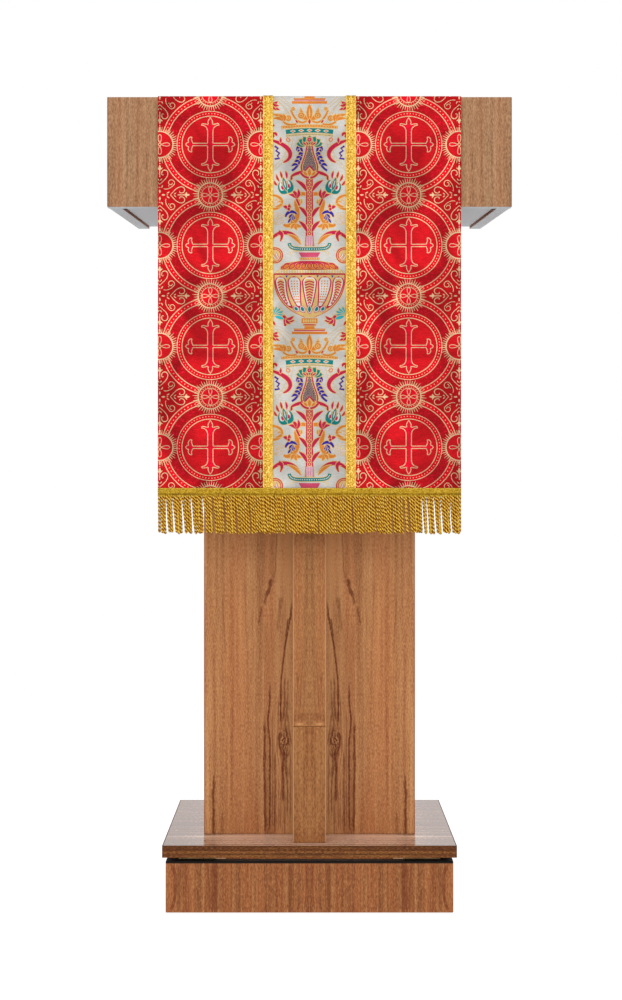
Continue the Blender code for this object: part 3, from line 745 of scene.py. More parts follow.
# ---------------------------------------------------------------- red brocade, in millimetres
CREAM = yarn(212, 182, 140, 0.25)
BRIGHT = yarn(222, 10, 32)
ROSE = yarn(226, 14, 46)
FIELD = yarn(203, 20, 29)
DAMASK = yarn(178, 14, 23)
VERMICELLI = yarn(214, 16, 44)
GROUND = yarn(186, 14, 23)
RED_PITCH = RED_REPEAT / MM
HALF_PITCH = RED_PITCH / 2
FINE = 0.56                           # half width of a cream outline
RINGS = (
    # radius, ink, from the largest down; the thin cream ones are outlines
    (71.5, CREAM), (70.3, BRIGHT), (63.7, CREAM), (62.5, DAMASK),
    (49.1, CREAM), (48.1, BRIGHT), (41.9, CREAM), (40.7, FIELD),
)


def arm_outline(tall):
    """One edge of a cross's arm as (across, along), from its root to its leaf's tip."""
    if tall:
        return path((3, (3.9, 0), (3.9, 18)),
                    (9, (3.9, 18.5), (4, 24.5), (7.4, 28), (12.6, 28.2)),
                    (9, (12.6, 28.2), (13.6, 30.4), (10.6, 31.4), (8.4, 29.8), (3.6, 29.2)),
                    (7, (3, 30.2), (4.4, 33), (2.2, 36), (0, 39.6)))
    return path((3, (1.8, 0), (1.8, 24.5)),
                (8, (1.8, 25.5), (5, 26.6), (6.8, 28.2), (10.6, 26.8)),
                (8, (10.6, 26.8), (12.2, 29.6), (8.2, 34), (3.4, 31.6)),
                (5, (3, 32), (3.2, 34), (1.4, 34.8), (0, 36.2)))


def draw_cross(figure, centre):
    """A budded cross: its arms filled first, then both edges of each drawn round them."""
    edges = []
    for quarter in range(4):
        edge = arm_outline(quarter % 2 == 0)
        figure.polygon(turned(np.concatenate((edge, edge[::-1] * (-1, 1))), quarter) + centre, ROSE)
        root = 1.8 if quarter % 2 == 0 else 3.9
        edge = edge[edge[:, 1] >= 0]
        edge[0, 1] = root
        edges += [turned(edge * (sign, 1), quarter) + centre for sign in (1, -1)]
    for edge in edges:
        figure.stroke(edge, FINE, CREAM)


def dash(figure, centre, turns, inner, outer, widths):
    """A short cream line that points outward, turns of a circle round from the right."""
    way = np.array((math.cos(turns * TURN), math.sin(turns * TURN)))
    figure.stroke((centre + inner * way, centre + outer * way), widths, CREAM)


def draw_medallion(figure, centre, upright):
    """A four-petalled flower in a rayed ring; the upright kind has a ring of dashes too."""
    rays, ring, length = (40, 17.3, 12) if upright else (46, 18.9, 14.6)
    for k in range(rays):
        dash(figure, centre, (k + 0.5) / rays, ring, ring + (8.6 if k % 2 else 6.6), (0.72, 0.22))
    figure.disc(centre, ring + 1.2, CREAM, 44)
    figure.disc(centre, ring - 0.5, FIELD, 44)
    if upright:
        for k in range(24):
            dash(figure, centre, k / 24, 14.2, 15.4, 0.6)
        figure.disc(centre, 13.2, CREAM, 32)
        figure.disc(centre, 12.3, BRIGHT, 32)
    for quarter in range(4):
        outline = curve((0, 2.2), (2.2, 5), (4.2, length - 1), (0, length), count=9)
        petal = np.concatenate((outline, (outline * (-1, 1))[1:-1][::-1]))
        figure.polygon(turned(petal, quarter) + centre, ROSE)
        for sign in (1, -1):
            figure.stroke(turned(outline * (sign, 1), quarter) + centre, 0.45, CREAM)
    figure.disc(centre, 2.4, CREAM, 12)
    figure.disc(centre, 1.5, ROSE, 10)


def draw_corner(figure, centre):
    """The four-pointed field between four rings: hearts, sprigs, scrolls and dashes."""
    heart = path((9, (0, 15.4), (3.6, 19.5), (11.4, 24), (11.8, 31)),
                 (8, (11.8, 31.5), (11.6, 36.4), (6.2, 38.2), (3.4, 34.2)),
                 (7, (3.2, 33.6), (1.8, 30.4), (4, 27.4), (5.6, 29.6)))
    scroll = np.concatenate((path((7, (5.8, 9), (10, 7.2), (17, 9.8), (21.4, 15.6))),
                             spiral((16.4, 17.6), 5.4, 2, -22, 1.05, 18)))
    for quarter in range(4):
        def put(points):
            return turned(points, quarter) + centre
        inside = np.concatenate((heart[:17], (heart[:17] * (-1, 1))[1:][::-1]))
        figure.polygon(put(inside), DAMASK)
        for sign in (1, -1):
            figure.stroke(put(heart * (sign, 1)), taper(len(heart), FINE, 0.35), CREAM)
            figure.leaf(*put(((0, 35.6), (sign * 4.4, 39.6))), 2, CREAM, 0.15 * sign)
            figure.leaf(*put(((sign * 2.2, 10), (sign * 4.6, 14.4))), 1.6, CREAM)
            figure.leaf(*put(((sign * 0.4, 20.5), (sign * 3.2, 24))), 1.3, CREAM)
        figure.stroke(put(((0, 26), (0, 36))), 0.6, CREAM)
        figure.leaf(*put(((0, 35), (0, 44))), 3.4, CREAM)
        figure.leaf(*put(((0, 2.4), (0, 8.2))), 2.4, CREAM)
        figure.disc(put(((0, 11),))[0], 0.8, CREAM, 8)
        figure.stroke(put(scroll), FINE * 0.85, CREAM)
        figure.disc(put(((13.2, 13.2),))[0], 0.8, CREAM, 6)
    for sign in (1, -1):
        figure.leaf(centre + (0, sign * 47.6), centre + (0, sign * 54.2), 2.8, CREAM)
        figure.disc(centre + (0, sign * 45.8), 0.8, CREAM, 6)


def draw_vermicelli(figure, centre):
    """Short wandering curls that fill the damask ring."""
    draw = random.Random(11)
    for radius, count in ((52.2, 30), (56, 32), (59.8, 34)):
        for k in range(count):
            angle = (k + draw.uniform(-0.3, 0.3)) * TURN / count
            start = centre + (radius * math.cos(angle), radius * math.sin(angle))
            turn = draw.choice((-1, 1))
            curl = spiral(start, draw.uniform(1.4, 2.3), 1.1, draw.uniform(0, 360),
                          turn * draw.uniform(0.45, 0.7), 6)
            figure.stroke(curl, taper(6, 0.7, 0.3), VERMICELLI)


def red_figure():
    """One repeat of the red brocade, from one row of corners up to the next."""
    figure = Figure()
    crest = np.array((0, HALF_PITCH))
    for sign in (-1, 1):
        for end in (0, RED_PITCH):
            draw_corner(figure, np.array((sign * HALF_PITCH, end)))
    for radius, ink in RINGS:
        figure.disc(crest, radius, ink, 112)
        if ink == DAMASK:
            draw_vermicelli(figure, crest)
    figure.beads(crest, 66.7, 74, 0.80, CREAM)
    figure.beads(crest, 45.2, 64, 0.75, CREAM)
    draw_cross(figure, crest)
    for end in (0, RED_PITCH):
        draw_medallion(figure, np.array((0, end)), upright=True)
    for sign in (-1, 1):
        draw_medallion(figure, np.array((sign * HALF_PITCH, HALF_PITCH)), upright=False)
    return figure


# ---------------------------------------------------------------- ivory brocade, in millimetres
IVORY = yarn(203, 200, 194)
STRAW = yarn(220, 184, 116, 0.1)
GHOST = yarn(208, 180, 138)
LILAC = yarn(206, 198, 202)
CRIMSON = yarn(194, 36, 74)
PINK = yarn(222, 110, 142)
ORANGE = yarn(216, 128, 50, 0.05)
TEAL = yarn(20, 126, 124)
TURQUOISE = yarn(40, 172, 184)
BLUE = yarn(50, 42, 156)
INDIGO = yarn(34, 30, 104)
PEARL = yarn(220, 217, 210)
HALO = 0.95                           # straw-coloured outline round each ivory motif
URN_FOOT = 24.6
URN_RIM = 88
URN_HALF = 52.6
LOBE_FULLNESS = 0.26                  # a lobe of the urn is pointed at 1 and parallel at 0


def haloed_stroke(figure, points, widths, ink):
    """A stroke with a straw outline."""
    widths = np.broadcast_to(np.asarray(widths, float), len(points))
    figure.stroke(points, widths + HALO, STRAW)
    figure.stroke(points, widths, ink)


def vine(figure, ink, thick, thin, count, *controls):
    """A haloed line along a Bezier curve, thick in its middle and thin at its ends."""
    haloed_stroke(figure, curve(*controls, count=count), taper(count, thick, thin), ink)


def haloed_leaf(figure, base, tip, width, ink, bend=0):
    """A leaf with a straw outline."""
    base, tip = np.asarray(base, float), np.asarray(tip, float)
    way = (tip - base) / np.linalg.norm(tip - base) * HALO
    figure.leaf(base - way, tip + 1.6 * way, width + 2 * HALO, STRAW, bend)
    figure.leaf(base, tip, width, ink, bend)


def spray(figure, centre, tips, width, ink, bend=0.15):
    """Leaves from one point."""
    for tip in tips:
        haloed_leaf(figure, centre, tip, width, ink, bend)


def fan(figure, centre, radius, start, end, count, width, ink):
    """Leaves from one point, fanned between two angles in degrees."""
    angles = np.radians(np.linspace(start, end, count))
    spray(figure, centre, [(centre[0] + radius * math.cos(a), centre[1] + radius * math.sin(a))
                           for a in angles], width, ink, 0)


def bar(figure, low, high, half_low, half_high, ink):
    """A level bar with its half widths at its low and high edges."""
    figure.polygon(((-half_low, low), (half_low, low), (half_high, high), (-half_high, high)), ink)


def roundel(figure, centre, radius):
    """A small coiled boss."""
    for size, ink, count in ((radius + HALO, STRAW, 18), (radius, ORANGE, 18),
                             (radius * 0.55, STRAW, 12), (radius * 0.34, ORANGE, 10)):
        figure.disc(centre, size, ink, count)


def between(figure, left, right, along, ink):
    """The shape between two edges, given across at each place along."""
    figure.polygon(np.concatenate((np.stack((right, along), 1),
                                   np.stack((left, along), 1)[::-1])), ink)


def symmetric(figure, half, along, ink):
    """A shape given by its half widths along its length."""
    half = np.asarray(half, float)
    between(figure, -half, half, along, ink)


def bead_row(figure, reach, pitch, y, radius, ink, arch=lambda x: 0.0):
    """Beads on a level line or, with arch, on one that rises by arch(x)."""
    for k in range(-reach, reach + 1):
        figure.disc((k * pitch, y + float(arch(k * pitch))), radius, ink, 6)


def draw_foot(figure):
    """The urn's stepped foot and its knop."""
    steps = (
        # low, high, half width, ink
        (0.2, 4.2, 25.8, ORANGE), (4.2, 4.9, 24.4, PEARL), (4.9, 6.5, 22.6, CRIMSON),
        (6.5, 7.2, 23.4, STRAW), (7.2, 8.6, 23.4, ORANGE), (8.6, 12, 7.4, ORANGE),
        (12, 12.8, 10.6, STRAW), (12.8, 15.2, 9.6, ORANGE), (13.3, 14.7, 7.2, CRIMSON),
    )
    for low, high, half, ink in steps:
        bar(figure, low, high, half, half, ink)
    bar(figure, 15.8, 24, 12.4, 12.4, STRAW)
    bar(figure, 16.4, 23.4, 11.4, 11.4, ORANGE)
    for x in (-8.4, -5, -1.7, 1.7, 5, 8.4):
        figure.disc((x, 19.9), 1.3, STRAW, 10, squash=2)


def urn_half(t):
    """Half width of the urn's bowl, t from 0 at its foot to 1 at its rim."""
    return np.maximum(URN_HALF * (1 - (1 - np.clip(t, 0, 1)) ** 2.4) ** 0.62, 7.4)


def gadroon(figure, middle, share, inset, ink, low=0.20, high=0.955):
    """A lobe of the bowl, round at its top and pointed below, drawn along the bowl's curve."""
    height = URN_RIM - URN_FOOT
    t = np.linspace(low + 2.4 * inset / height, high - inset / height, 22)
    part = (t - low) / (high - low)
    swell = np.minimum(np.sqrt(np.clip(1 - ((part - 0.80) / 0.20).clip(0) ** 2, 0, 1)),
                       (part / 0.8).clip(0, 1) ** LOBE_FULLNESS)
    wide = urn_half(t)
    half = np.maximum(share * wide * swell - inset, 0.12)
    centre = middle * wide
    between(figure, centre - half, centre + half, URN_FOOT + t * height, ink)


def draw_urn(figure):
    """A gadrooned bowl: five outlined lobes with chevrons or dots, and drops at its foot."""
    height = URN_RIM - URN_FOOT
    t = np.linspace(0, 1, 24)
    for grow, ink in ((HALO + 0.3, STRAW), (0, CRIMSON), (-1.5, STRAW)):
        symmetric(figure, urn_half(t) + grow, URN_FOOT + t * height, ink)
    for number, (middle, share) in enumerate(((-0.808, 0.166), (-0.428, 0.192), (0, 0.214),
                                              (0.428, 0.192), (0.808, 0.166))):
        chevrons = number % 2 == 0
        layers = ((0, CRIMSON), (1.9, PEARL), (3.9, STRAW))
        for inset, ink in layers if chevrons else layers[:2]:
            gadroon(figure, middle, share, inset, ink)
        for k in range(9):
            s = 0.36 + 0.060 * k
            wide = float(urn_half(s))
            y = URN_FOOT + s * height
            centre = middle * wide
            reach = share * wide * min(1, (s - 0.2) / 0.6) ** LOBE_FULLNESS
            if chevrons:
                reach = max(reach - 4, 0.6)
                figure.stroke(((centre - reach, y - 2.4), (centre, y), (centre + reach, y - 2.4)),
                              1, CRIMSON)
            else:
                for x in (-0.42, 0, 0.42):
                    figure.disc((centre + x * reach, y), 1.15, ORANGE, 6)
    for middle, length in ((-0.84, 10), (-0.42, 11), (0, 13), (0.42, 11), (0.84, 10)):
        low = np.array((middle * 19, URN_FOOT + 5.6 + 4 * abs(middle)))
        way = np.array((middle * 1.1, 1)) / math.hypot(middle * 1.1, 1)
        figure.leaf(low - way, low + way * (length + 1), 8.6, CRIMSON)
        figure.leaf(low, low + way * length, 6.8, PEARL)
        figure.leaf(low + way * 1.6, low + way * (length - 1.2), 4.6, TEAL)
    for middle in (-0.636, -0.226, 0.226, 0.636):
        x = middle * URN_HALF
        figure.polygon(((x - 3.4, 86.8), (x + 3.4, 86.8), (x, 81.2)), STRAW)
        figure.polygon(((x - 1.9, 86.2), (x + 1.9, 86.2), (x, 82.8)), BLUE)


def draw_lid(figure):
    """The urn's rim, beaded band and frilled collar."""
    bar(figure, 87.2, 89.4, 52.4, 52, CRIMSON)
    bar(figure, 89.4, 94.8, 51.6, 46.6, STRAW)
    bead_row(figure, 12, 3.9, 91, 1, PEARL)
    bead_row(figure, 11, 3.9, 93.2, 1, PEARL)
    symmetric(figure, (43.4, 42.8, 38, 30, 14), (94.8, 99, 103.2, 105.6, 107.8), STRAW)
    symmetric(figure, (42.4, 41.8, 37, 29, 13), (95.2, 98.8, 102.6, 104.9, 107.2), CRIMSON)
    bar(figure, 94.8, 97.2, 41, 41, ORANGE)
    for k in (-4, 4, -3, 3, -2, 2, -1, 1, 0):
        base = np.array((k * 6.6, 105.4 - 0.5 * abs(k)))
        tip = np.array((k * 9.9, 95.6))
        figure.leaf(base, tip, 9, STRAW, 0.02 * k)
        figure.leaf(base, tip, 7.6, CRIMSON, 0.02 * k)
        figure.leaf(base + (tip - base) * 0.22, tip - (tip - base) * 0.12, 4.4, ORANGE, 0.02 * k)
    bar(figure, 109, 112.2, 14.8, 14.8, ORANGE)
    bead_row(figure, 4, 3.4, 110.6, 1, STRAW)
    bar(figure, 112.8, 119.8, 12, 15.8, CRIMSON)
    for k in range(4):
        low = 113.6 + 1.6 * k
        bar(figure, low, low + 0.7, 11.8 + 0.8 * k, 12.2 + 0.8 * k, PINK)


def draw_dish(figure):
    """A beaded dish with upturned ends, on two straw brackets."""
    way = curve((-29.6, 133.6), (-29, 121.5), (-16, 125.2), (0, 125.2), (16, 125.2),
                (29, 121.5), (29.6, 133.6), count=25)
    haloed_stroke(figure, way, 2.5, TEAL)
    for point in way[1:-1]:
        figure.disc(point, 0.9, PEARL, 6)
    for sign in (-1, 1):
        bracket = np.array(((28, 121), (27.6, 115.4), (24, 120.6), (18, 121.4)))
        figure.stroke(bracket * (sign, 1), 0.5, STRAW)


def draw_stem(figure):
    """A chained stem, from the dish up to the bud."""
    along = np.linspace(129, 229, 20)
    half = np.interp(along, (129, 146, 229), (6.6, 5.4, 4.8))
    for shrink, ink in ((-HALO, STRAW), (0, CRIMSON), (2.1, STRAW)):
        symmetric(figure, half - shrink, along, ink)
    bar(figure, 130, 144, 5.6, 4.6, LILAC)
    for x in (-3.6, -1.2, 1.2, 3.6):
        figure.stroke(((x * 1.1, 130), (x * 0.9, 144)), 0.55, PINK)
    for k in range(15):
        y = 147.4 + 5.5 * k
        figure.disc((0, y), 2.7, CRIMSON, 10, squash=0.95)
        figure.disc((0, y), 1.2, STRAW, 8)
    for low, out, up in ((148.6, 13, 17.6), (169.6, 13, 17.6), (207.6, 17.4, 18)):
        for sign in (1, -1):
            haloed_leaf(figure, (sign * 3, low), (sign * (3 + out), low + up), 5.4,
                        CRIMSON, bend=0.10 * sign)


def draw_bud(figure):
    """The crowning bud: a latticed drop, edged in crimson, between curling blue sepals."""
    half = Figure(mirror=True)
    spine = curve((17.4, 268.4), (20.4, 277.6), (8.4, 280), (7.4, 266), (12.2, 258.6),
                  (14.2, 250), (17.8, 243.6), (25.8, 239.4), count=30)
    haloed_stroke(half, spine, np.linspace(1.9, 1.5, 30), BLUE)
    haloed_leaf(half, (17, 270.6), (14.2, 265), 4, BLUE)
    for base, tip in (((8.4, 264.4), (16.8, 261.2)), ((11.2, 259), (20, 255.6)),
                      ((13.2, 252.8), (23, 250.2)), ((15.6, 247), (26.8, 245.4))):
        haloed_leaf(half, base, tip, 4, BLUE, 0.24)
    vine(half, CRIMSON, 2.3, 1.2, 12, (9, 240.4), (12, 235), (19, 237), (26.4, 231))
    vine(half, CRIMSON, 1.5, 1.5, 8, (13, 236.4), (9, 231), (6, 229.4), (1, 229))
    figure.take(half)
    along = np.linspace(239, 276, 26)
    lattice = np.interp(along, (239, 243, 247, 252, 258, 264, 270, 276),
                        (9.4, 10.4, 10, 8.4, 6.2, 4.2, 2.9, 1.8))
    for grow, ink in ((3.4, STRAW), (2.6, CRIMSON), (0.7, STRAW)):
        symmetric(figure, lattice + grow, along, ink)
    cell = 2.3
    for row in range(32):
        y = 240.4 + row * cell / 2
        reach = float(np.interp(y, along, lattice)) - 0.4
        for k in range(-5, 6):
            x = (k + 0.5 * (row % 2)) * cell
            if abs(x) < reach and y < 275:
                figure.disc((x, y), 0.96, INDIGO, 4)
    figure.polygon(((-9.6, 237.6), (9.6, 237.6), (0, 247.4)), CRIMSON)
    figure.polygon(((-7, 237.2), (7, 237.2), (0, 244.6)), STRAW)
    haloed_leaf(figure, (0, 231), (0, 242.2), 4.8, ORANGE)
    for sign in (1, -1):
        haloed_leaf(figure, (sign * 3, 232), (sign * 9, 238), 3.4, ORANGE)
    for k in (-3, 3, -2, 2, -1, 1, 0):
        angle = k * 0.50
        base = np.array((k * 1.4, 276.8 + 0.3 * abs(k)))
        length = 16.4 - 0.5 * abs(k)
        tip = base + (length * math.sin(angle), length * math.cos(angle) * 0.84)
        haloed_leaf(figure, base, tip, 8.8, TEAL)
    for k in (-2, -1, 1, 2):
        base = np.array((k * 1.6, 276.4))
        haloed_leaf(figure, base, base + (k * 3.4, 6.4 - abs(k)), 2.4, CRIMSON)
    for radius, ink, count in ((3.9, STRAW, 14), (3.2, CRIMSON, 14), (1.3, PINK, 10)):
        figure.disc((0, 284.6), radius, ink, count)


def belt_rise(x):
    """How much higher the belt's arch is at x than at its ends."""
    return 3.4 * (1 - (np.asarray(x) / 42) ** 2)


def draw_belt(figure):
    """An arched teal belt set with lozenges, between rows of beads."""
    x = np.linspace(-34.6, 34.6, 25)
    haloed_stroke(figure, np.stack((x, 294.8 + belt_rise(x)), 1), 3.2, TEAL)
    for k in range(-2, 3):
        middle = k * 12.1
        y = 294.8 + float(belt_rise(middle))
        figure.polygon(((middle - 4.4, y), (middle, y - 2.4), (middle + 4.4, y),
                        (middle, y + 2.4)), PEARL)
        figure.leaf((middle - 2.4, y), (middle + 2.4, y), 2.6, ORANGE)
    haloed_stroke(figure, np.stack((x * 1.2, 301.4 + belt_rise(x)), 1), 1.5, ORANGE)
    for k in range(-10, 11):
        figure.disc((k * 4, 301.4 + float(belt_rise(k * 3.35))), 0.9, STRAW, 6)
    figure.stroke(np.stack((x, 288.8 + belt_rise(x)), 1), 1.3, STRAW)
    bead_row(figure, 16, 2.1, 288.8, 0.7, TEAL, belt_rise)
    for sign in (1, -1):
        figure.stroke(spiral((sign * 30.6, 284.6), 3.6, 1.4, 90, -sign * 1.1, 12), 0.8, ORANGE)


def draw_crest(figure):
    """A lily and bosses among orange scrolls, above the belt."""
    half = Figure(mirror=True)
    vine(half, ORANGE, 1.1, 1.1, 18, (1.6, 318), (3, 306), (19, 305), (21, 317), (25.6, 322),
         (27, 328))
    vine(half, ORANGE, 1.1, 1.1, 10, (19, 307.8), (25, 305.6), (33, 305.4), (38.6, 311.4))
    haloed_leaf(half, (1.2, 313), (12.6, 331), 8, ORANGE, bend=-0.20)
    haloed_leaf(half, (9, 321.4), (13.6, 328.4), 3.4, ORANGE)
    roundel(half, (12.1, 320), 4.4)
    roundel(half, (30.8, 316), 4)
    roundel(half, (24, 329.6), 2.4)
    spray(half, (37, 311.4), ((54, 321.4), (53, 315.4), (46, 321.8), (38.4, 322)), 4.4, ORANGE)
    haloed_leaf(half, (17, 308.8), (20.4, 313.6), 2.6, CRIMSON)
    figure.take(half)
    haloed_leaf(figure, (0, 311), (0, 336.6), 8.4, ORANGE)
    figure.leaf((0, 316), (0, 331), 2.2, STRAW)
    haloed_leaf(figure, (0, 307.4), (0, 315), 3.6, CRIMSON)


def draw_tulip(figure):
    """A teal cup leaning outward, with flames on its rim, on the right-hand side."""
    centre = np.array((33, 208.6))
    up = np.array((0.26, 0.965))
    side = np.array((0.965, -0.26))
    for across, height, length in ((-11, 14, 8), (-5.4, 18, 12), (1.4, 19, 12.5),
                                   (7.6, 17, 11.5), (12.4, 12, 8.5)):
        base = centre + side * across * 0.85 + up * height
        haloed_leaf(figure, base, base + side * across * 0.24 + up * length, 3.2, CRIMSON,
                    bend=-0.012 * across)
    for sign in (-1, 1):
        for grow, raised, ink in ((HALO + 0.6, 0, STRAW), (0.6, 0, TEAL), (-3.2, 2, PEARL)):
            outline = curve((0.3 - grow, -2 - grow), (sign * (15.6 + grow), -5 - grow),
                            (sign * (13.6 + grow), 12), (sign * (8.4 + grow), 19 + grow),
                            (sign * 3.4, 21 + grow), (sign * (2 - grow), 12),
                            (sign * (0.6 - grow), 2 - 0.4 * grow), count=18) + (0, raised)
            figure.polygon(centre + outline[:, :1] * side + outline[:, 1:] * up, ink)
        low = centre + side * sign * 4.6 + up * 3.4
        figure.leaf(low, low + side * sign + up * 7.6, 3, CRIMSON)
    haloed_leaf(figure, centre + up, centre + up * 22, 5.6, TEAL)
    figure.leaf(centre + up * 6, centre + up * 18, 2, LILAC)


def draw_strapwork(half):
    """Faint lines behind the rest."""
    for shift in (0, 6):
        half.stroke(curve((56, 349 - shift), (30 - shift, 336), (22 - shift, 300),
                          (24 - shift, 262), (56, 243 - shift), count=20), 0.5, GHOST)
    for part in curve((56, 346), (27, 336), (19, 300), (21, 262), (56, 240), count=22):
        half.disc(part, 1, GHOST, 6)
    for shift in (0, 5):
        half.stroke(curve((56, 8 - shift), (44, 20 - shift), (36, 4 - shift),
                          (26, -2 - shift), count=12), 0.5, GHOST)
    fan(half, (49, 160), 13, 60, 150, 5, 3, LILAC)
    vine(half, LILAC, 1, 1, 8, (52, 176), (40, 178), (36, 168))


def draw_dish_leaves(half):
    """Leaves that arch out of the dish."""
    vine(half, CRIMSON, 2.7, 1, 15, (13.6, 133.6), (19, 147), (36, 155), (50, 148), (56, 138))
    haloed_stroke(half, curve((45.4, 149), (37, 147.6), (41, 140), (42.6, 136), count=9),
                  np.linspace(3.4, 0.7, 9), CRIMSON)
    haloed_leaf(half, (12, 130.4), (32, 146.4), 4.2, ORANGE, bend=0.10)


def draw_scroll(half):
    """An orange scroll with its blue tuft."""
    vine(half, ORANGE, 3.3, 1.2, 22, (19.6, 197.4), (24, 187), (10, 180), (18, 168), (22, 160),
         (31, 155), (38, 160.6))
    spray(half, (20, 162), ((12, 157.6), (18.6, 152.6), (27, 153.6)), 4.2, ORANGE)
    spray(half, (15.4, 190), ((12, 197.6), (17.6, 199)), 3.4, ORANGE)
    vine(half, BLUE, 2.2, 1, 10, (35, 171.6), (33.6, 180), (24, 182), (18.6, 176))
    spray(half, (24, 176.4), ((20.6, 168.4), (23.2, 165.6), (26.4, 162.4), (29.6, 168)), 3, BLUE)
    haloed_leaf(half, (27, 170.4), (31.6, 162.6), 3, BLUE)
    spray(half, (32.8, 183), ((29.6, 191), (38.6, 187.4), (28.4, 184.4)), 4.6, CRIMSON, 0.2)


def draw_edge_flower(half):
    """A flower at the edge, and leaves between the stem and the tulips."""
    vine(half, ORANGE, 1.8, 1, 16, (56, 203.4), (46, 204), (38, 198), (36.4, 193.6), (40, 186),
         (48, 182), (56, 183))
    fan(half, (49.6, 186.6), 11.4, 70, 160, 4, 4.2, ORANGE)
    fan(half, (51, 188), 9.4, 80, 150, 3, 2.4, LILAC)
    vine(half, ORANGE, 2.4, 0.9, 9, (2.6, 200.4), (5, 207.4), (13, 207.4), (17.4, 200.4))
    spray(half, (19, 198), ((30.4, 204.4), (26.6, 211), (17, 212.6)), 4.6, CRIMSON, 0.18)
    vine(half, CRIMSON, 1.5, 1.5, 5, (14.4, 188), (16.4, 192), (19, 198))


def draw_great_leaves(half):
    """Great curved leaves, level with the bud, and what fills the edge above them."""
    vine(half, CRIMSON, 3.1, 0.8, 20, (56, 284.4), (44, 279.6), (26, 276), (20, 258), (38.4, 251.4))
    haloed_leaf(half, (42.4, 279.6), (42, 288), 3.4, CRIMSON)
    haloed_stroke(half, spiral((50.6, 291.6), 3.4, 1.8, -70, 0.8, 12), 1.7, CRIMSON)
    half.disc((52.4, 305.4), 1.6, CRIMSON, 8)
    haloed_stroke(half, ((51, 275.4), (46, 272), (49, 268.6), (44, 265), (47, 261), (44, 257.4),
                         (51, 256.4)), 1.4, BLUE)
    spray(half, (54, 337.6), ((43, 328), (48.6, 327.6), (46.4, 340.6), (44.6, 334.4)), 4, CRIMSON)


def draw_shells(half):
    """Shells at the edge, level with the urn's neck."""
    for radius, ink in ((12.6, STRAW), (11.7, CRIMSON), (10.2, STRAW), (9.2, CRIMSON), (8, STRAW)):
        half.disc((50.4, 115.6), radius, ink, 26)
    for low, high in (((43.4, 110), (49.6, 122.4)), ((46.6, 107.8), (54.4, 121))):
        haloed_leaf(half, low, high, 3.4, CRIMSON, bend=-0.12)
        half.leaf(low, high, 1.9, PEARL, bend=-0.12)


def draw_tufts(half):
    """Tufts and forks beside the urn's foot."""
    fan(half, (51, 26.6), 14.6, 28, 196, 8, 4.8, TURQUOISE)
    vine(half, CRIMSON, 2.4, 1.1, 8, (36, 12), (33.6, 17), (38.4, 22), (33, 25.4))
    spray(half, (35, 22.4), ((21.6, 20.6), (23, 27), (27.6, 15.6), (39.6, 27.6)), 4.2, CRIMSON)
    haloed_leaf(half, (54, 20), (50, 13), 3, CRIMSON)


def ivory_figure():
    """One repeat of the ivory brocade: an urn, a leafy stem, a bud, a belt and a crest."""
    half = Figure(mirror=True)
    for draw in (draw_strapwork, draw_dish_leaves, draw_scroll, draw_edge_flower, draw_tulip,
                 draw_great_leaves, draw_shells, draw_tufts):
        draw(half)
    figure = Figure()
    figure.take(half)
    for draw in (draw_foot, draw_urn, draw_lid, draw_stem, draw_dish, draw_bud, draw_belt,
                 draw_crest):
        draw(figure)
    return figure


# ---------------------------------------------------------------- cloth with a figure
def triangulate(figure, half, length, ground):
    """The flat cloth cut along every motif: points, triangles and an ink for each."""
    rows = even_rows(0.0, length)
    columns = np.linspace(-half, half, round(2 * half / SWEEP_STEP) + 1)
    points = [(x, s) for s in rows for x in columns]
    count = len(columns)
    edges = [(r * count + c, r * count + c + 1)
             for r in range(len(rows)) for c in range(count - 1)]
    edges += [(r * count + c, (r + 1) * count + c)
              for r in range(len(rows) - 1) for c in (0, count - 1)]
    faces = []
    inks = []
    for polygon, ink in zip(figure.polygons, figure.inks):
        low, high = polygon.min(axis=0), polygon.max(axis=0)
        if high[0] < -half or low[0] > half or high[1] < 0.0 or low[1] > length:
            continue
        start = len(points)
        points += [tuple(p) for p in polygon]
        faces.append(list(range(start, start + len(polygon))))
        inks.append(ink)
    found = delaunay_2d_cdt([Vector(p) for p in points], edges, faces, 0, 1e-7, True)
    flat = np.array([tuple(p) for p in found[0]])
    triangles = np.array([f for f in found[2] if len(f) == 3])
    owners = [max(o, default=-1) for f, o in zip(found[2], found[5]) if len(f) == 3]
    middle = flat[triangles].mean(axis=1)
    inside = (np.abs(middle[:, 0]) < half) & (middle[:, 1] > 0.0) & (middle[:, 1] < length)
    table = np.array([*inks, ground])
    colours = table[np.array(owners)][inside]
    triangles = triangles[inside]
    used = np.unique(triangles)
    renumber = np.full(len(flat), -1)
    renumber[used] = np.arange(len(used))
    return flat[used], renumber[triangles], colours


def turned_edge(flat, half, length):
    """Points on the cloth's rim, in order, to close its edge with a narrow turn."""
    tolerance = 1e-6
    sides_of = (
        (np.abs(flat[:, 1]) < tolerance, flat[:, 0]),
        (np.abs(flat[:, 0] - half) < tolerance, flat[:, 1]),
        (np.abs(flat[:, 1] - length) < tolerance, -flat[:, 0]),
        (np.abs(flat[:, 0] + half) < tolerance, -flat[:, 1]),
    )
    loop = []
    for on_side, order in sides_of:
        index = np.flatnonzero(on_side)
        loop += list(index[np.argsort(order[index])][:-1])
    return np.array(loop)


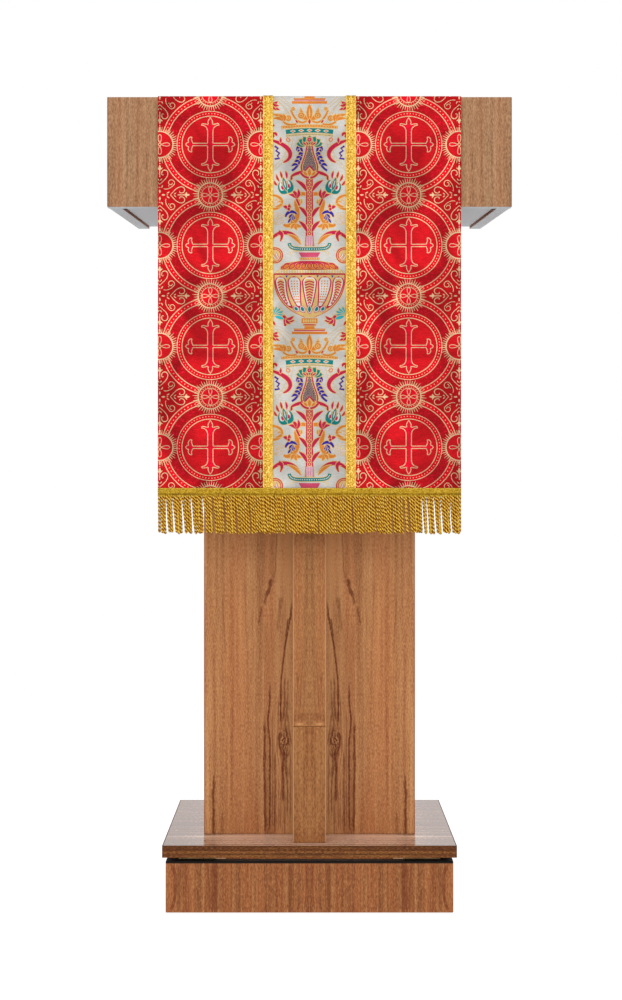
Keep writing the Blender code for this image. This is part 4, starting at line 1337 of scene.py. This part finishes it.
def brocade_band(side, middle, half, figure, ground, material):
    """A woven band of the veil, laid over the head, its motifs cut into its mesh."""
    flat, triangles, colours = triangulate(figure, half, VEIL_LENGTH, ground)
    surface = on_veil(flat[:, 0] + middle, flat[:, 1], BAND_LIFT)
    loop = turned_edge(flat, half, VEIL_LENGTH)
    inner = on_veil(flat[loop, 0] + middle, flat[loop, 1], BAND_LIFT - EDGE_TURN)
    start = len(flat)
    ring = np.arange(len(loop))
    after = np.roll(ring, -1)
    rim = np.stack((loop[after], loop[ring], start + ring, start + after), axis=1)
    points = np.concatenate((surface, inner))
    faces = [tuple(t) for t in triangles] + [tuple(q) for q in rim]
    piece = new_piece(f"brocade_{side}", points, faces, material, f"veil_band_{side}")
    mesh = piece.data
    give_cloth_place(mesh, np.concatenate((flat[:, 0], flat[loop, 0])),
                     np.concatenate((flat[:, 1], flat[loop, 1])))
    corner_colours = np.concatenate((np.repeat(colours, 3, axis=0),
                                     np.tile(ground, (4 * len(rim), 1))))
    ink = mesh.color_attributes.new("ink", "FLOAT_COLOR", "CORNER")
    ink.data.foreach_set("color", corner_colours.astype(np.float32).ravel())
    return piece


PICK_PITCH = 0.00062                  # between the weave's ribs along the cloth
WARP_PITCH = 0.00054                  # and across it


def brocade(name, speckle, painted_shade_and_sheen, weave_depth, roughness):
    """Jacquard weave: fine ribs, uneven threads, painted shade and sheen, metal-wrapped outlines.
    """
    g = Nodes(name, Specular_IOR_Level=0.06)
    ink = g.attribute("ink")
    cloth = g.attribute("cloth")["Vector"]
    across, along, _ = g.split(cloth)
    pick = g.math("SINE", g.times(along, TURN / PICK_PITCH))
    warp = g.math("SINE", g.times(across, TURN / WARP_PITCH))
    ribs = g.plus(g.times(pick, 0.5), g.times(warp, 0.3))
    threads = g.noise(cloth, (760.0, 900.0, 1.0), roughness=0.7)
    slub = g.noise(cloth, (120.0, 420.0, 1.0))
    # soft patches of painted shade and sheen, standing for the light on the cloth's folds
    soft = g.noise(cloth, (12.0, 12.0, 1.0), detail=1.5, distortion=1.2)
    uneven = g.plus(threads, g.scaled(slub, 0.4, -0.2))
    shade = g.times(g.smooth(uneven, 0.30, 0.70, *speckle), g.smooth(soft, 0.34, 0.66, *painted_shade_and_sheen))
    colour = g.mix(1.0, ink["Color"], g.join(shade, shade, shade), "MULTIPLY")
    return g.finish(Base_Color=colour, Metallic=ink["Alpha"],
                    Roughness=g.scaled(threads, 0.2, roughness - 0.1),
                    Normal=g.bump(g.scaled(threads, 0.8, ribs), weave_depth, 0.7))


def build_bands():
    """The two red bands and the ivory one between them."""
    # the second range of each cloth is how dark and light its painted shade and sheen go
    red_cloth = brocade("red_brocade", (0.74, 1.30), (0.66, 1.20), 0.00012, 0.46)
    ivory_cloth = brocade("ivory_brocade", (0.84, 1.12), (0.74, 1.08), 0.00010, 0.55)
    first = (RED_CROSS_Z - FRONT_HEM_Z - RED_REPEAT / 2) % RED_REPEAT - RED_REPEAT
    motif = red_figure()
    seam = SEAM_X + SEAM_GAP
    middle = (VEIL_HALF + seam) / 2
    bands = []
    for side, sign in (("left", -1), ("right", 1)):
        figure = motif.tiled(sign * (RED_X - middle), first, RED_REPEAT)
        bands.append(brocade_band(side, sign * middle, (VEIL_HALF - seam) / 2, figure, GROUND,
                                  red_cloth))
    first = (IVORY_FOOT_Z - FRONT_HEM_Z) % IVORY_REPEAT - IVORY_REPEAT
    figure = ivory_figure().tiled(0.0, first, IVORY_REPEAT)
    bands.append(brocade_band("centre", 0.0, SEAM_X, figure, IVORY, ivory_cloth))
    return bands


# ---------------------------------------------------------------- lining
def satin():
    """A plain dull red satin."""
    g = Nodes("lining_satin", Specular_IOR_Level=0.08)
    cloth = g.attribute("cloth")["Vector"]
    threads = g.noise(cloth, (1400.0, 90.0, 1.0))
    soft = g.noise(cloth, (10.0, 8.0, 1.0))
    colour = g.ramp(g.scaled(soft, 0.5, g.times(threads, 0.5)),
                    (0.3, srgb(142, 14, 26)), (0.7, srgb(178, 22, 36)))
    return g.finish(Base_Color=colour, Roughness=g.scaled(threads, 0.2, 0.56),
                    Normal=g.bump(threads, 0.00005, 0.6))


def build_lining():
    """A thin closed sheet behind the bands."""
    rows = even_rows(0.0, VEIL_LENGTH)
    columns = np.linspace(-VEIL_HALF, VEIL_HALF, round(2 * VEIL_HALF / SWEEP_STEP) + 1)
    along, across = np.meshgrid(rows, columns, indexing="ij")
    count = along.size
    outer = on_veil(across, along, LINING_LIFT + LINING_HALF).reshape(-1, 3)
    inner = on_veil(across, along, LINING_LIFT - LINING_HALF).reshape(-1, 3)
    quads = grid_faces(len(rows), len(columns))
    number = np.arange(count).reshape(along.shape)
    rim = np.concatenate((number[0, :-1], number[:-1, -1], number[-1, :0:-1], number[:0:-1, 0]))
    after = np.roll(rim, -1)
    faces = np.concatenate((quads, quads[:, ::-1] + count,
                            np.stack((rim + count, after + count, after, rim), axis=1)))
    piece = new_piece("satin_lining", np.concatenate((outer, inner)), faces, satin(),
                      "veil_lining")
    give_cloth_place(piece.data, np.tile(across.ravel(), 2), np.tile(along.ravel(), 2))
    return piece


# ---------------------------------------------------------------- gold trims
GALLOON_STEP = 0.00085                # between its rows of points
GALLOON_COLUMNS = 19
GALLOON_RELIEF = 0.0007
PLAIT_PITCH = 0.0034                  # along the galloon
SELVEDGE_PITCH = 0.0019
HEADING_ROWS = 19
HEADING_COLUMNS = 640
HEADING_RELIEF = 0.0009
ZIGZAG_PITCH = 0.0021                 # across the heading
STITCH_PITCH = 0.0046
STITCH_LINE = 0.0040                  # how far the stitches lie left of the galloon's middle


def gold(name, tones, roughness, relief_shading=0.62, grain_and_glint=0.9, mottle=0.5, stitches=False):
    """Metallic-gold yarn, painted brighter where the braid stands up. tones run from dark to
    bright.
    """
    g = Nodes(name, Metallic=0.55, Specular_IOR_Level=0.1)
    cloth = g.attribute("cloth")["Vector"]
    height = g.attribute("height")["Fac"]
    glint = g.noise(cloth, (620.0, 620.0, 1.0), detail=3.0, roughness=0.7)
    highlight_patches = g.noise(cloth, (240.0, 200.0, 1.0), distortion=0.8)
    # painted light: raised yarn lighter and hollows darker, with painted glints and patchy
    # highlights
    tone = g.plus(g.scaled(height, relief_shading, 0.5 - 0.5 * relief_shading),
                  g.scaled(glint, grain_and_glint, -0.5 * grain_and_glint), g.scaled(highlight_patches, mottle, -0.5 * mottle))
    colour = g.ramp(tone, *zip((0.18, 0.52, 0.86), tones))
    if stitches:
        across, along, _ = g.split(cloth)
        row = g.math("PINGPONG", g.math("DIVIDE", along, STITCH_PITCH), 0.5)
        line = g.math("ABSOLUTE", g.plus(across, STITCH_LINE))
        hole = g.times(g.smooth(row, 0.16, 0.32, 1.0, 0.0),
                       g.smooth(line, 0.0005, 0.0014, 1.0, 0.0),
                       g.smooth(highlight_patches, 0.40, 0.56, 0.25, 0.85))
        colour = g.mix(hole, colour, opaque(srgb(118, 76, 14)))
    return g.finish(Base_Color=colour, Roughness=g.scaled(glint, 0.25, roughness - 0.12),
                    Normal=g.bump(glint, 0.00015, 0.6))


def give_height(mesh, height):
    """How far each point stands up, from 0 to 1, for the gold's painted light and shade."""
    attribute = mesh.attributes.new("height", "FLOAT", "POINT")
    attribute.data.foreach_set("value", np.clip(height, 0.0, 1.0).astype(np.float32).ravel())


def wave(angle):
    """A sine between 0 and 1."""
    return 0.5 + 0.5 * np.sin(angle)


def relief_strip(name, across, along, lift, height, depth, material, node):
    """A braid: a grid raised by height times depth, with its four edges turned down."""
    rise = np.pad(lift + depth * height, 1, mode="edge")
    x = np.pad(across, 1, mode="edge")
    s = np.pad(along, 1, mode="edge")
    rise[0, :] = rise[-1, :] = lift - BRAID_TURN
    rise[:, 0] = rise[:, -1] = lift - BRAID_TURN
    points = on_veil(x, s, rise).reshape(-1, 3)
    piece = new_piece(name, points, grid_faces(*x.shape), material, node)
    middle = (across.min() + across.max()) / 2
    give_cloth_place(piece.data, x.ravel() - middle, s.ravel())
    give_height(piece.data, np.pad(height, 1, mode="edge"))
    return piece


def build_galloons():
    """A basket-woven gold band over each seam."""
    material = gold("galloon_gold", (srgb(152, 102, 22), srgb(213, 170, 63), srgb(244, 224, 150)),
                    0.50, relief_shading=0.42, mottle=0.85, stitches=True)
    start = HEADING_LOW + HEADING_HEIGHT
    rows = even_rows(start, VEIL_LENGTH - start, GALLOON_STEP)
    pieces = []
    for side, sign in (("left", -1), ("right", 1)):
        columns = sign * GALLOON_X + np.linspace(-0.5, 0.5, GALLOON_COLUMNS) * GALLOON_WIDTH
        along, across = np.meshgrid(rows, columns, indexing="ij")
        u = (across - sign * GALLOON_X) / GALLOON_WIDTH
        slip = 1.6 * np.sin(TURN * along / 0.0130 + 2.4 * np.sin(TURN * along / 0.0370))
        plait = wave(TURN * along / PLAIT_PITCH + np.abs(u) * 12.0 + slip)
        cross = wave(TURN * (u * 3.5) + 1.7 * np.sin(TURN * along / 0.0070))
        edge = wave(TURN * along / SELVEDGE_PITCH)
        height = np.where(np.abs(u) > 0.42, 0.35 + 0.55 * edge, 0.20 + 0.80 * plait * cross)
        pieces.append(relief_strip(f"gold_galloon_{side}", across, along, GALLOON_LIFT, height,
                                   GALLOON_RELIEF, material, f"galloon_{side}"))
    return pieces


def build_heading(end, material):
    """The braided heading of a fringe, sewn over the hem."""
    rows = np.linspace(HEADING_LOW, HEADING_LOW + HEADING_HEIGHT, HEADING_ROWS)
    if end == "rear":
        rows = VEIL_LENGTH - rows[::-1]
    columns = np.linspace(-VEIL_HALF, VEIL_HALF, HEADING_COLUMNS)
    along, across = np.meshgrid(rows, columns, indexing="ij")
    t = (along - rows[0]) / HEADING_HEIGHT
    if end == "rear":
        t = 1.0 - t
    slant = 2.0 * np.abs(t * 3.0 % 1.0 - 0.5)
    zigzag = 0.5 + 0.5 * np.cos(TURN * (across / ZIGZAG_PITCH + slant))
    lip = np.exp(-((t - 0.93) / 0.06) ** 2)
    groove = np.exp(-((t - 0.30) / 0.05) ** 2)
    loops = np.sqrt(np.abs(np.sin(math.pi * across / CORD_PITCH))) * np.clip(1.1 - t / 0.25, 0, 1)
    height = np.where(t > 0.27, 0.34 + 0.42 * zigzag, 0.15 + 0.85 * loops)
    height = np.clip(height + 0.35 * lip - 0.5 * groove, 0.0, 1.0)
    return relief_strip(f"{end}_braid_heading", across, along, HEADING_LIFT, height,
                        HEADING_RELIEF, material, f"{end}_heading")


CORD_PITCH = 0.0034
CORD_RADIUS = 0.00208
CORD_RINGS = 56
CORD_SIDES = 8
CORD_LOBE = 0.20                      # depth of the groove between a cord's two strands
CORD_TUCK = 0.0015                    # how far the cords go up behind the heading
CORD_LIFT = 0.0020                    # of a cord's centre line from the wood's face
TWIST_LENGTH = 0.0112                 # one full turn of a cord's two strands
CORD_STAGGER = 0.0034                 # neighbouring cords' strands line up on a slant


def cord_clumps(draw, count):
    """Each cord's sideways drift and how late it drifts; small clumps near the veil's edges."""
    clumps = []
    wide = False
    while len(clumps) < count:
        outer = abs(len(clumps) / count - 0.5) > 0.24
        wide = not wide
        size = draw.randint(1, 3) if outer else draw.randint(4, 10)
        drift = draw.uniform(0.0046, 0.0058) if wide else draw.uniform(0.0016, 0.0028)
        late = draw.uniform(0.5, 0.9) if wide else draw.uniform(1.0, 1.6)
        drift = drift if outer else 0.5 * drift + 0.0016
        clumps += [(drift if clumps else 0.0004, late)] * size
    return clumps[:count]


def twist(centre, radius, spin):
    """Rings of points round a cord's centre line, and how far each point's strand stands up."""
    t = np.linspace(0.0, 1.0, CORD_RINGS)
    end_round = np.sqrt(np.clip(1.0 - ((t - 0.975) / 0.025).clip(0.0, 1.0) ** 2, 0.03, 1.0))
    angles = np.arange(CORD_SIDES) * TURN / CORD_SIDES
    lobes = 1.0 + CORD_LOBE * np.cos(2.0 * (angles[None, :] - spin[:, None]))
    girth = radius * lobes * end_round[:, None] / 1.04
    rings = np.stack((centre[:, None, 0] + girth * np.cos(angles),
                      centre[:, None, 1] + girth * np.sin(angles),
                      np.broadcast_to(centre[:, None, 2], girth.shape)), axis=-1)
    return rings, (lobes - 1.0) / CORD_LOBE * 0.5 + 0.5


def cord_faces(count):
    """Faces of count cords, each a tube of rings with its two ends closed."""
    each = CORD_RINGS * CORD_SIDES
    quads = grid_faces(CORD_RINGS, CORD_SIDES, closed=True)[:, ::-1]
    faces = []
    for first in range(0, count * each, each):
        last = first + each - 1
        faces += [tuple(quad + first) for quad in quads]
        faces += [tuple(range(first, first + CORD_SIDES)),
                  tuple(range(last, last - CORD_SIDES, -1))]
    return faces


def build_fringe(end, seed, material):
    """Twisted bullion cords in a row, each a two-lobed rope with a rounded end."""
    draw = random.Random(seed)
    count = round(2 * VEIL_HALF / CORD_PITCH)
    reach = VEIL_HALF - CORD_RADIUS
    t = np.linspace(0.0, 1.0, CORD_RINGS)
    hem = 0.0 if end == "front" else VEIL_LENGTH
    points = []
    heights = []
    flats = []
    slip = 0.0
    for number, (drift, late) in enumerate(cord_clumps(draw, count)):
        length = FRINGE_LENGTH * draw.uniform(0.955, 1.02)
        radius = CORD_RADIUS * draw.uniform(0.94, 1.04)
        slip = 0.88 * slip + draw.uniform(-1.1, 1.1)
        phase = slip - TURN * number * CORD_STAGGER / TWIST_LENGTH
        turns = length / (TWIST_LENGTH * draw.uniform(0.97, 1.03))
        x = reach * (2.0 * number / (count - 1) - 1.0) + drift * t ** late
        x += draw.uniform(-0.0004, 0.0004) * np.sin(t * 2.3 * math.pi)
        x = np.clip(x, -reach, reach)
        fall = HEADING_LOW + CORD_TUCK - (length + CORD_TUCK) * t
        centre = on_veil(x, np.full_like(x, hem), CORD_LIFT + draw.uniform(-0.0004, 0.0006))
        centre[:, 2] += fall
        rings, height = twist(centre, radius, phase + turns * TURN * t)
        points.append(rings.reshape(-1, 3))
        heights.append(height.ravel())
        flats.append(np.stack((rings[..., 0] + 0.7 * rings[..., 1],
                               np.broadcast_to(fall[:, None], height.shape)), -1).reshape(-1, 2))
    piece = new_piece(f"{end}_bullion_fringe", np.concatenate(points), cord_faces(count),
                      material, f"{end}_fringe")
    give_cloth_place(piece.data, *np.concatenate(flats).T)
    give_height(piece.data, np.concatenate(heights))
    return piece


def build_veil():
    """The veil's cloth, lining and trims."""
    bands = build_bands()
    lining = build_lining()
    galloons = build_galloons()
    heading_gold = gold("heading_gold", (srgb(96, 66, 8), srgb(163, 126, 26), srgb(208, 176, 64)),
                        0.55, grain_and_glint=1.8, mottle=0.7)
    cord_gold = gold("bullion_gold", (srgb(98, 40, 2), srgb(170, 117, 22), srgb(230, 198, 88)),
                     0.50, relief_shading=0.85, grain_and_glint=1.1)
    for end, seed in (("front", 4), ("rear", 5)):
        build_heading(end, heading_gold)
        build_fringe(end, seed, cord_gold)


# ---------------------------------------------------------------- stage
AMBIENT = 0.57                        # strength of the white surround as light on the pulpit
CAMERA_PLACE = (0.0, -3.025, 0.656)
CAMERA_LENS = 68.18                   # mm
CAMERA_SHIFT = (0.0015, -0.025)
LAMPS = (
    # name, place, target, size, watts
    ("key", (-1.9, -3.2, 2.4), (0.0, -0.1, 0.8), 2.2, 34.0),
    ("fill", (2.6, -2.4, 1.6), (0.0, 0.0, 0.7), 2.2, 16.0),
    ("front", (0.2, -4.4, 1.3), (0.0, 0.0, 0.6), 1.6, 40.0),
    ("rear", (0.6, 3.2, 2.6), (0.0, 0.1, 0.8), 1.8, 34.0),
)


def build_surround(scene):
    """White for the camera and for reflections, dimmer as light."""
    world = bpy.data.worlds.new("surround")
    scene.world = world
    world.use_nodes = True
    sky = world.node_tree.nodes["Background"]
    sky.inputs["Color"].default_value = (1.0, 1.0, 1.0, 1.0)
    rays = world.node_tree.nodes.new("ShaderNodeLightPath")
    dim = world.node_tree.nodes.new("ShaderNodeMapRange")
    dim.inputs["To Min"].default_value = 1.0
    dim.inputs["To Max"].default_value = AMBIENT
    world.node_tree.links.new(rays.outputs["Is Diffuse Ray"], dim.inputs["Value"])
    world.node_tree.links.new(dim.outputs["Result"], sky.inputs["Strength"])


def build_floor():
    """A pale floor that fades into the surround."""
    bpy.ops.mesh.primitive_circle_add(vertices=96, radius=3.0, fill_type="NGON")
    floor = bpy.context.object
    floor.name = "floor"
    g = Nodes("floor_white", Roughness=0.9, Emission_Color=(1.0, 1.0, 1.0, 1.0),
              Emission_Strength=0.86)
    x, y, _ = g.split(g.place())
    away = g.math("SQRT", g.plus(g.times(x, x), g.times(y, y)))
    g.finish(Base_Color=opaque((0.30, 0.30, 0.30)), Alpha=g.smooth(away, 0.7, 2.6, 1.0, 0.0))
    floor.data.materials.append(g.material)


def build_stage():
    """The surround, the floor, soft lights and the camera."""
    scene = bpy.context.scene
    scene.view_settings.view_transform = "Standard"
    build_surround(scene)
    build_floor()
    for name, place, target, size, watts in LAMPS:
        light = bpy.data.lights.new(name, "AREA")
        light.size = size
        light.energy = watts
        lamp = bpy.data.objects.new(name, light)
        lamp.location = place
        lamp.rotation_euler = (Vector(target) - Vector(place)).to_track_quat("-Z", "Y").to_euler()
        scene.collection.objects.link(lamp)
    camera_data = bpy.data.cameras.new("camera")
    camera_data.sensor_fit = "AUTO"
    camera_data.sensor_width = 36.0
    camera_data.lens = CAMERA_LENS
    camera_data.shift_x, camera_data.shift_y = CAMERA_SHIFT
    camera = bpy.data.objects.new("camera", camera_data)
    camera.location = CAMERA_PLACE
    camera.rotation_euler = (math.pi / 2, 0.0, 0.0)
    scene.collection.objects.link(camera)
    scene.camera = camera


build_stage()
paint_wood()
paint_fittings()
build_veil()
